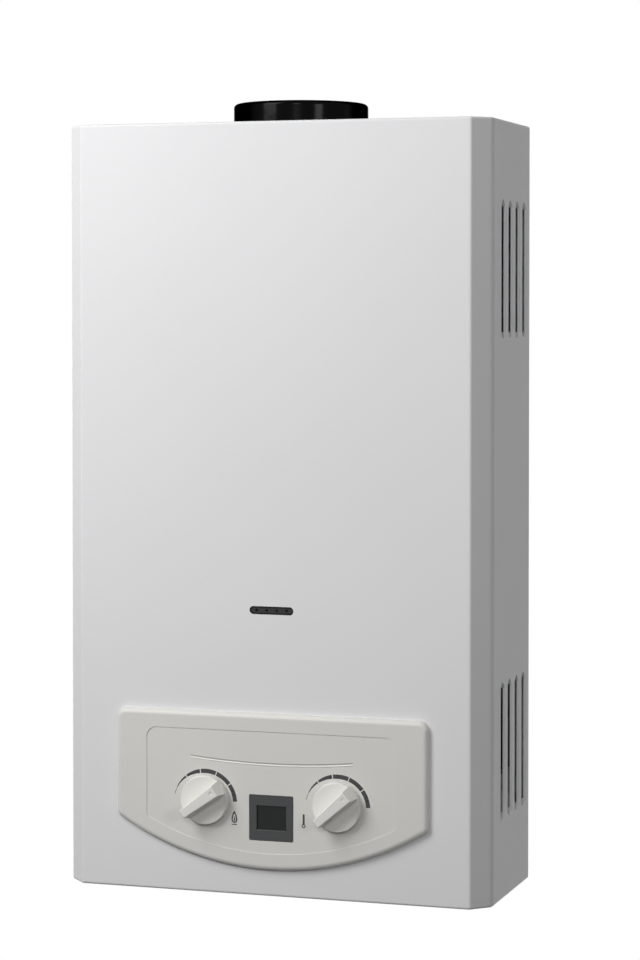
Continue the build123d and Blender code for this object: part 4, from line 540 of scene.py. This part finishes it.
def scale_print(name, centre):
    """Knob scale: a broken arc that grows from a hair line to a broad band."""
    shape = bmesh.new()
    ends = [SCALE_FROM, *SCALE_GAPS, SCALE_TO]
    for first, last in zip(ends, ends[1:]):
        start = first - (SCALE_GAP / 2 if first in SCALE_GAPS else 0.0)
        stop = last + (SCALE_GAP / 2 if last in SCALE_GAPS else 0.0)
        count = max(2, round((start - stop) / SCALE_STEP))
        inner = []
        outer = []
        for step in range(count + 1):
            angle = start + (stop - start) * step / count
            growth = eased((SCALE_FROM - angle) / SCALE_GROWTH)
            width = SCALE_THIN_W + (SCALE_FULL_W - SCALE_THIN_W) * growth
            inner.append(around(centre, SCALE_R - width, angle))
            outer.append(around(centre, SCALE_R, angle))
        add_print_band(shape, inner, outer, closed=False)
    return new_piece(name, mesh_of(shape), "heater", "bezel_plastic")


# Drops of the flame: rise above the symbol's foot, height and width
FLAME_OUTER = (1.4 * MM, 9.2 * MM, 4.9 * MM)
FLAME_INNER = (2.3 * MM, 6.4 * MM, 2.6 * MM)
FLAME_CORE = (2.5 * MM, 4.4 * MM, 1.1 * MM)
FLAME_BAR_HALF = 2.1 * MM
FLAME_BAR_T = 0.7 * MM
FLAME_PLACE = (-28.4 * MM, up(54.0))
DROP_POINTS = 28
DROP_SLIM = 0.45
DROP_BELLY = 0.85


def drop_outline(place, drop):
    """Teardrop (x, z) points, pointed at the top."""
    x, foot = place
    rise, height, width = drop
    line = []
    for step in range(DROP_POINTS):
        angle = 2 * math.pi * step / DROP_POINTS
        taper = 0.5 * (1 - math.cos(angle))
        half = width * 0.5 * math.sin(angle) * (DROP_SLIM + DROP_BELLY * taper)
        line.append((x + half, foot + rise + height * (1 - taper)))
    return line


def flame_print(name, place):
    """Flame symbol: a drop outline with a small drop inside and a bar below."""
    shape = bmesh.new()
    add_print_band(shape, drop_outline(place, FLAME_INNER), drop_outline(place, FLAME_OUTER), closed=True)
    add_print(shape, drop_outline(place, FLAME_CORE))
    x, foot = place
    left = x - FLAME_BAR_HALF
    right = x + FLAME_BAR_HALF
    add_print(shape, [(left, foot), (right, foot), (right, foot + FLAME_BAR_T), (left, foot + FLAME_BAR_T)])
    return new_piece(name, mesh_of(shape), "heater", "bezel_plastic")


BULB_R = 1.5 * MM
BULB_INNER_R = 0.8 * MM
BULB_STEPS = 36
STEM_HALF = 0.8 * MM
STEM_FROM = 2.7 * MM
STEM_TO = 9.8 * MM
STEM_CAP_STEPS = 12
THERMOMETER_PLACE = (27.3 * MM, up(54.7))


def thermometer_print(name, place):
    """Thermometer symbol: a round-topped stem on a ring."""
    shape = bmesh.new()
    x, foot = place
    bulb = (x, foot + BULB_R)
    turns = [360.0 * step / BULB_STEPS for step in range(BULB_STEPS)]
    outer = [around(bulb, BULB_R, angle) for angle in turns]
    inner = [around(bulb, BULB_INNER_R, angle) for angle in turns]
    add_print_band(shape, inner, outer, closed=True)
    stem_top = (x, foot + STEM_TO)
    cap = [around(stem_top, STEM_HALF, 180.0 * step / STEM_CAP_STEPS) for step in range(STEM_CAP_STEPS + 1)]
    add_print(shape, cap + [(x - STEM_HALF, foot + STEM_FROM), (x + STEM_HALF, foot + STEM_FROM)])
    return new_piece(name, mesh_of(shape), "heater", "bezel_plastic")


scale_print("gas_scale_print", GAS_SCALE_MID)
scale_print("water_scale_print", WATER_SCALE_MID)
flame_print("flame_print", FLAME_PLACE)
thermometer_print("thermometer_print", THERMOMETER_PLACE)


# Rounded lip under the groove above the controls

LIP_HALF_W = 0.6 * MM
LIP_MID = 1.1 * MM
LIP_RISE = 0.45 * MM
LIP_STATIONS = 60
LIP_ARC_STEPS = 8


def groove_lip(name):
    """Half-round lip that follows the lower edge of the bowed groove."""
    bow_r = (GROOVE_HALF ** 2 + GROOVE_SAG ** 2) / (2 * GROOVE_SAG)
    centre_z = up(GROOVE_HEIGHT) + bow_r
    half_turn = math.asin(GROOVE_HALF / bow_r)
    profile = [(LIP_MID + LIP_HALF_W, PRINT_BACK_Y)]
    for step in range(LIP_ARC_STEPS + 1):
        angle = math.pi * step / LIP_ARC_STEPS
        profile.append((LIP_MID + LIP_HALF_W * math.cos(angle), FASCIA_FACE_Y - LIP_RISE * math.sin(angle)))
    profile.append((LIP_MID - LIP_HALF_W, PRINT_BACK_Y))
    shape = bmesh.new()
    rows = []
    for station in range(LIP_STATIONS + 1):
        turn = half_turn * (2 * station / LIP_STATIONS - 1)
        row = []
        for drop, y in profile:
            x = CONTROL_MID_X + (bow_r + drop) * math.sin(turn)
            z = centre_z - (bow_r + drop) * math.cos(turn)
            row.append(shape.verts.new((x, y, z)))
        rows.append(row)
    add_skin(shape, rows, ring=False)
    shape.faces.new(rows[0])
    shape.faces.new(rows[-1])
    return new_piece(name, mesh_of(shape), "heater", "fascia_plastic")


groove_lip("fascia_groove_lip")


# Display bezel: a square-cornered frame with a bevelled window

BEZEL_W = 35.0 * MM
BEZEL_H = 34.5 * MM
BEZEL_BACK_Y = FASCIA_FACE_Y + 1.6 * MM
BEZEL_INSET = 1.0 * MM
WINDOW_W = 23.4 * MM
WINDOW_H = 18.2 * MM
WINDOW_BEVEL = 0.5 * MM
DISPLAY_HEIGHT = 60.7
CORNERS = ((-1, -1), (1, -1), (1, 1), (-1, 1))


def bezel_frame(name):
    """Frame made of rectangular loops, from the back of its rim round to its body behind the rim."""
    body_w = BEZEL_W - BEZEL_INSET
    body_h = BEZEL_H - BEZEL_INSET
    loops = [
        (BEZEL_W, BEZEL_H, PRINT_BACK_Y),
        (BEZEL_W, BEZEL_H, PRINT_FRONT_Y),
        (WINDOW_W + 2 * WINDOW_BEVEL, WINDOW_H + 2 * WINDOW_BEVEL, PRINT_FRONT_Y),
        (WINDOW_W, WINDOW_H, PRINT_FRONT_Y + WINDOW_BEVEL),
        (WINDOW_W, WINDOW_H, BEZEL_BACK_Y),
        (body_w, body_h, BEZEL_BACK_Y),
        (body_w, body_h, PRINT_BACK_Y),
    ]
    shape = bmesh.new()
    rings = []
    for wide, high, y in loops:
        rings.append([
            shape.verts.new((CONTROL_MID_X + side * wide / 2, y, up(DISPLAY_HEIGHT) + rise * high / 2))
            for side, rise in CORNERS
        ])
    add_skin(shape, rings, ring=True)
    return new_piece(name, mesh_of(shape), "heater", "bezel_plastic")


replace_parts(bezel_frame("display_bezel_frame"), "display_bezel")


# Screws and pipe threads: grown by Geometry Nodes on a few given places


class Pattern(NodeMaker):
    """A Geometry Nodes tree under construction."""

    def __init__(self, name):
        super().__init__(bpy.data.node_groups.new(name, "GeometryNodeTree"))
        self.identifiers = {}
        self.source = self.tree.nodes.new("NodeGroupInput")
        self.places = self.size("Places", "NodeSocketGeometry")
        self.tree.interface.new_socket("Shape", in_out="OUTPUT", socket_type="NodeSocketGeometry")

    def size(self, name, kind="NodeSocketFloat"):
        """Named input of the tree."""
        socket = self.tree.interface.new_socket(name, in_out="INPUT", socket_type=kind)
        self.identifiers[name] = socket.identifier
        return Term(self, self.source.outputs[name])

    def vector(self, x, y, z):
        return self.node("ShaderNodeCombineXYZ", None, {"X": x, "Y": y, "Z": z})

    def raised(self, geometry, rise):
        sockets = {"Geometry": geometry, "Translation": self.vector(0.0, 0.0, rise)}
        return self.node("GeometryNodeTransform", None, sockets)

    def cylinder(self, radius, length, sides, rings=1):
        sockets = {"Vertices": sides, "Fill Segments": rings, "Radius": radius, "Depth": length}
        return self.node("GeometryNodeMeshCylinder", {"fill_type": "TRIANGLE_FAN"}, sockets)

    def cut(self, geometry, cutter):
        sockets = {"Mesh 1": geometry, "Mesh 2": cutter}
        return self.node("GeometryNodeMeshBoolean", {"operation": "DIFFERENCE", "solver": "EXACT"}, sockets)

    def end(self, geometry):
        """Finish the tree: instances made real, then the material."""
        material = self.size("Material", "NodeSocketMaterial")
        real = self.node("GeometryNodeRealizeInstances", None, {"Geometry": geometry})
        finished = self.node("GeometryNodeSetMaterial", None, {"Geometry": real, "Material": material})
        sink = self.tree.nodes.new("NodeGroupOutput")
        self.put(sink.inputs["Shape"], finished)


def grown(pattern, places, slot, **sizes):
    """Plain mesh that a pattern makes on a list of places."""
    seed_mesh = bpy.data.meshes.new("places")
    seed_mesh.from_pydata(places, [], [])
    holder = bpy.data.objects.new("places", seed_mesh)
    scene.collection.objects.link(holder)
    modifier = holder.modifiers.new("pattern", "NODES")
    modifier.node_group = pattern.tree
    sizes["Material"] = FINISHES[slot]
    for name, value in sizes.items():
        modifier[pattern.identifiers[name.replace("_", " ")]] = value
    evaluated = holder.evaluated_get(bpy.context.evaluated_depsgraph_get())
    mesh = bpy.data.meshes.new_from_object(evaluated)
    holder.modifiers.remove(modifier)
    bpy.data.objects.remove(holder)
    return smoothed(mesh)


HEAD_SIDES = 40
HEAD_RINGS = 8
SHANK_SIDES = 24
RANDOM_LOW = 2
RANDOM_HIGH = 3
RANDOM_NUMBER = 1


def screw_pattern():
    """Pan-head screws with a crossed recess, each turned a little differently."""
    pattern = Pattern("pan_head_screws")
    head_r = pattern.size("Head Radius")
    head_h = pattern.size("Head Height")
    crown = pattern.size("Crown")
    recess_w = pattern.size("Recess Width")
    recess_l = pattern.size("Recess Length")
    recess_d = pattern.size("Recess Depth")
    shank_r = pattern.size("Shank Radius")
    shank_l = pattern.size("Shank Length")
    axis = pattern.size("Axis", "NodeSocketVector")
    seed = pattern.size("Seed", "NodeSocketInt")

    flat_h = head_h - crown
    plain_head = pattern.raised(pattern.cylinder(head_r, flat_h, HEAD_SIDES, HEAD_RINGS), flat_h / 2)
    x, y, z = pattern.parts(pattern.node("GeometryNodeInputPosition"))
    inward = 1 - (x * x + y * y) / (head_r * head_r)
    rise = crown * inward * z.above(flat_h / 2)
    head = pattern.node("GeometryNodeSetPosition", None, {
        "Geometry": plain_head,
        "Offset": pattern.vector(0.0, 0.0, rise),
    })
    for wide, deep in ((recess_l, recess_w), (recess_w, recess_l)):
        bar = pattern.node("GeometryNodeMeshCube", None, {"Size": pattern.vector(wide, deep, 2 * recess_d)})
        head = pattern.cut(head, pattern.raised(bar, head_h))
    shank = pattern.raised(pattern.cylinder(shank_r, shank_l, SHANK_SIDES), 0 - shank_l / 2)
    screw = pattern.node("GeometryNodeJoinGeometry", None, {"Geometry": [head, shank]})

    facing = pattern.node("FunctionNodeAlignRotationToVector", {"axis": "Z"}, {"Vector": axis})
    turn_range = {"Seed": seed, RANDOM_LOW: 0.0, RANDOM_HIGH: math.pi}
    turn = pattern.node("FunctionNodeRandomValue", {"data_type": "FLOAT"}, turn_range, RANDOM_NUMBER)
    spun = pattern.node("FunctionNodeAxisAngleToRotation", None, {"Axis": (0.0, 0.0, 1.0), "Angle": turn})
    rotation = pattern.node("FunctionNodeRotateRotation", {"rotation_space": "LOCAL"}, {
        "Rotation": facing,
        "Rotate By": spun,
    })
    pattern.end(pattern.node("GeometryNodeInstanceOnPoints", None, {
        "Points": pattern.places,
        "Instance": screw,
        "Rotation": rotation,
    }))
    return pattern


# Ridge of a thread: half widths as shares of its pitch, and the share of its depth that is sunk in the root
RIDGE_FOOT = 0.48
RIDGE_CREST = 0.09
RIDGE_SUNK = -0.2
THREAD_STEPS = 64


def thread_pattern():
    """Pipe thread: a ridge wound round each place, from the place upward."""
    pattern = Pattern("pipe_threads")
    root_r = pattern.size("Root Radius")
    depth = pattern.size("Ridge Depth")
    pitch = pattern.size("Pitch")
    length = pattern.size("Length")
    spiral = pattern.node("GeometryNodeCurveSpiral", None, {
        "Resolution": THREAD_STEPS,
        "Rotations": length / pitch - 1,
        "Start Radius": root_r,
        "End Radius": root_r,
        "Height": length - pitch,
    })
    upright = pattern.node("GeometryNodeSetCurveNormal", {"mode": "Z_UP"}, {"Curve": spiral})
    foot = RIDGE_FOOT * pitch
    crest = RIDGE_CREST * pitch
    corners = {
        "Point 1": pattern.vector(depth * RIDGE_SUNK, foot, 0.0),
        "Point 2": pattern.vector(depth, crest, 0.0),
        "Point 3": pattern.vector(depth, 0 - crest, 0.0),
        "Point 4": pattern.vector(depth * RIDGE_SUNK, 0 - foot, 0.0),
    }
    profile = pattern.node("GeometryNodeCurvePrimitiveQuadrilateral", {"mode": "POINTS"}, corners)
    ridge = pattern.node("GeometryNodeCurveToMesh", None, {
        "Curve": upright,
        "Profile Curve": profile,
        "Fill Caps": True,
    })
    pattern.end(pattern.node("GeometryNodeInstanceOnPoints", None, {
        "Points": pattern.places,
        "Instance": pattern.raised(ridge, pitch / 2),
    }))
    return pattern


screws = screw_pattern()
threads = thread_pattern()


def screw_set(name, node, places, axis, seed, **sizes):
    """Like screws on a list of places, as one piece that stands for a node of the part."""
    mesh = grown(screws, places, "plated_steel", Axis=axis, Seed=seed, **sizes)
    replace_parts(new_piece(name, mesh, "heater", "plated_steel"), node)


COVER_SCREW_X = 157 * MM
COVER_SCREW_Y = -28 * MM
screw_set(
    "cover_pan_screws", "cover_screws",
    [(side * COVER_SCREW_X, COVER_SCREW_Y, up(0)) for side in (-1, 1)],
    axis=(0.0, 0.0, -1.0), seed=3,
    Head_Radius=4.0 * MM, Head_Height=2.5 * MM, Crown=0.9 * MM,
    Recess_Width=0.9 * MM, Recess_Length=4.2 * MM, Recess_Depth=1.5 * MM,
    Shank_Radius=2.0 * MM, Shank_Length=10.0 * MM,
)

FASCIA_SCREW_X = 108 * MM
FASCIA_SCREW_Y = -139.2 * MM
FASCIA_SCREW_HEIGHTS = (66, 124)
screw_set(
    "fascia_pan_screws", "fascia_screws",
    [
        (side * FASCIA_SCREW_X, FASCIA_SCREW_Y, up(height))
        for side in (-1, 1)
        for height in FASCIA_SCREW_HEIGHTS
    ],
    axis=(0.0, 1.0, 0.0), seed=8,
    Head_Radius=5.0 * MM, Head_Height=2.2 * MM, Crown=0.8 * MM,
    Recess_Width=0.8 * MM, Recess_Length=4.0 * MM, Recess_Depth=1.3 * MM,
    Shank_Radius=1.5 * MM, Shank_Length=4.0 * MM,
)

CAP_FACE_X = 22.7 * MM
CAP_MID_Y = -76 * MM
CAP_MID_HEIGHT = 72.5
CAP_SCREW_R = 27.5 * MM
CAP_SCREWS = 6
cap_turns = [360.0 * step / CAP_SCREWS for step in range(CAP_SCREWS)]
screw_set(
    "cap_pan_screws", "cap_screws",
    [(CAP_FACE_X, *around((CAP_MID_Y, up(CAP_MID_HEIGHT)), CAP_SCREW_R, turn)) for turn in cap_turns],
    axis=(-1.0, 0.0, 0.0), seed=5,
    Head_Radius=3.5 * MM, Head_Height=3.0 * MM, Crown=0.7 * MM,
    Recess_Width=0.8 * MM, Recess_Length=3.6 * MM, Recess_Depth=1.5 * MM,
    Shank_Radius=2.0 * MM, Shank_Length=2.0 * MM,
)


# Pipe tails: turned fittings with a hexagon and a wound thread

PIPE_Y = -48 * MM
HOT_PIPE_X = -130.0 * MM
GAS_PIPE_X = -51.7 * MM
COLD_PIPE_X = 54.3 * MM
THREAD_R = 20.955 / 2 * MM
THREAD_PITCH = 1.814 * MM
THREAD_DEPTH = 1.162 * MM
THREAD_L = 14.0 * MM
THREAD_ROOT_R = THREAD_R - THREAD_DEPTH
BORE_R = 6.0 * MM
CORE_R = 0.5 * MM
SHANK_R = 9.0 * MM
TAIL_EDGE = 0.5 * MM
HEX_ACROSS = 27.0 * MM
HEX_EDGE = 0.9 * MM
HEX_EDGE_RISE = 0.55 * HEX_EDGE
HEX_TOP_HEIGHT = 6.0
FITTING_TOP_HEIGHT = 14.0
TURNED_SIDES = 64
HEX_SIDES = 6


def add_lathe(shape, x, y, profile, sides=TURNED_SIDES):
    """Add a turned ring to a bmesh. Its profile is a closed loop of (radius, z) points."""
    rings = []
    for side in range(sides):
        angle = 2 * math.pi * side / sides
        rings.append([
            shape.verts.new((x + radius * math.cos(angle), y + radius * math.sin(angle), z))
            for radius, z in profile
        ])
    add_skin(shape, rings, ring=True)


def pipe_tail(name, node, x):
    """Threaded fitting below the case: thread, hexagon and the shank that passes the shelf."""
    end_z = up(0) - THREAD_L
    hex_top_z = up(HEX_TOP_HEIGHT)
    top_z = up(FITTING_TOP_HEIGHT)
    corner_r = HEX_ACROSS / math.sqrt(3)
    shape = bmesh.new()
    add_lathe(shape, x, PIPE_Y, [
        (BORE_R, end_z),
        (THREAD_ROOT_R - TAIL_EDGE, end_z),
        (THREAD_ROOT_R, end_z + TAIL_EDGE),
        (THREAD_ROOT_R, up(0)),
        (BORE_R, up(0)),
    ])
    add_lathe(shape, x, PIPE_Y, [
        (BORE_R, up(0)),
        (corner_r - HEX_EDGE, up(0)),
        (corner_r, up(0) + HEX_EDGE_RISE),
        (corner_r, hex_top_z - HEX_EDGE_RISE),
        (corner_r - HEX_EDGE, hex_top_z),
        (BORE_R, hex_top_z),
    ], sides=HEX_SIDES)
    add_lathe(shape, x, PIPE_Y, [
        (CORE_R, hex_top_z),
        (SHANK_R, hex_top_z),
        (SHANK_R, top_z),
        (CORE_R, top_z),
    ])
    body_mesh = mesh_of(shape)
    ridge_mesh = grown(
        threads, [(x, PIPE_Y, end_z)], "brass",
        Root_Radius=THREAD_ROOT_R, Ridge_Depth=THREAD_DEPTH, Pitch=THREAD_PITCH, Length=THREAD_L,
    )
    whole = bmesh.new()
    whole.from_mesh(body_mesh)
    whole.from_mesh(ridge_mesh)
    bpy.data.meshes.remove(body_mesh)
    bpy.data.meshes.remove(ridge_mesh)
    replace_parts(new_piece(name, mesh_of(whole), "heater", "brass"), node)


pipe_tail("hot_pipe_tail", "hot_outlet", HOT_PIPE_X)
pipe_tail("gas_pipe_tail", "gas_inlet", GAS_PIPE_X)
pipe_tail("cold_pipe_tail", "cold_inlet", COLD_PIPE_X)


# Stage: a white surround, a white floor far below that still takes shadow, and soft studio light

FLOOR_Z = cad_low.z - 4.0
FLOOR_HALF = 12.0
FLOOR_GLOW = 0.985
SURROUND = 1.0
AMBIENT = 0.055
WHITE = grey(1.0)

paper = Finish("floor_paper", Roughness=0.9)
paper.set(Base_Color=paper.mix(paper.noise(scale=3.0), grey(0.86), grey(0.9)))
paper_look = paper.node("ShaderNodeMixShader", None, {
    0: FLOOR_GLOW * paper.seen_share(),
    1: Term(paper, paper.shader.outputs["BSDF"]),
    2: paper.node("ShaderNodeEmission", None, {"Color": WHITE, "Strength": 1.0}),
})
paper.put(paper.tree.nodes["Material Output"].inputs["Surface"], paper_look)
floor_corners = [(side * FLOOR_HALF, deep * FLOOR_HALF, FLOOR_Z) for side, deep in CORNERS]
floor_mesh = bpy.data.meshes.new("floor")
floor_mesh.from_pydata(floor_corners, [], [(0, 1, 2, 3)])
floor_mesh.materials.append(paper.material)
floor = bpy.data.objects.new("floor", floor_mesh)
scene.collection.objects.link(floor)

world = bpy.data.worlds.new("studio")
world.use_nodes = True
scene.world = world
sky = NodeMaker(world.node_tree)
surround = sky.node("ShaderNodeMixShader", None, {
    0: sky.seen_share(),
    1: sky.node("ShaderNodeBackground", None, {"Color": WHITE, "Strength": AMBIENT}),
    2: sky.node("ShaderNodeBackground", None, {"Color": WHITE, "Strength": SURROUND}),
})
sky.put(world.node_tree.nodes["World Output"].inputs["Surface"], surround)

LIGHT_AIM = Vector((0.0, -0.1, -0.25))


def soft_box(name, place, width, height, watts):
    """Rectangular soft light aimed at the middle of the part."""
    data = bpy.data.lights.new(name, "AREA")
    data.shape = "RECTANGLE"
    data.size = width
    data.size_y = height
    data.energy = watts
    lamp = bpy.data.objects.new(name, data)
    lamp.location = place
    lamp.rotation_euler = (LIGHT_AIM - Vector(place)).to_track_quat("-Z", "Y").to_euler()
    lamp.visible_camera = False
    scene.collection.objects.link(lamp)


soft_box("key_light", (-0.72, -1.08, 0.56), width=0.6, height=1.0, watts=17.6)
soft_box("front_light", (0.42, -2.3, 0.55), width=0.4, height=0.5, watts=9.4)
soft_box("right_light", (1.7, -1.6, 0.25), width=0.5, height=0.3, watts=5.2)
soft_box("rim_light", (2.1, 0.55, 0.0), width=0.6, height=1.2, watts=1.8)
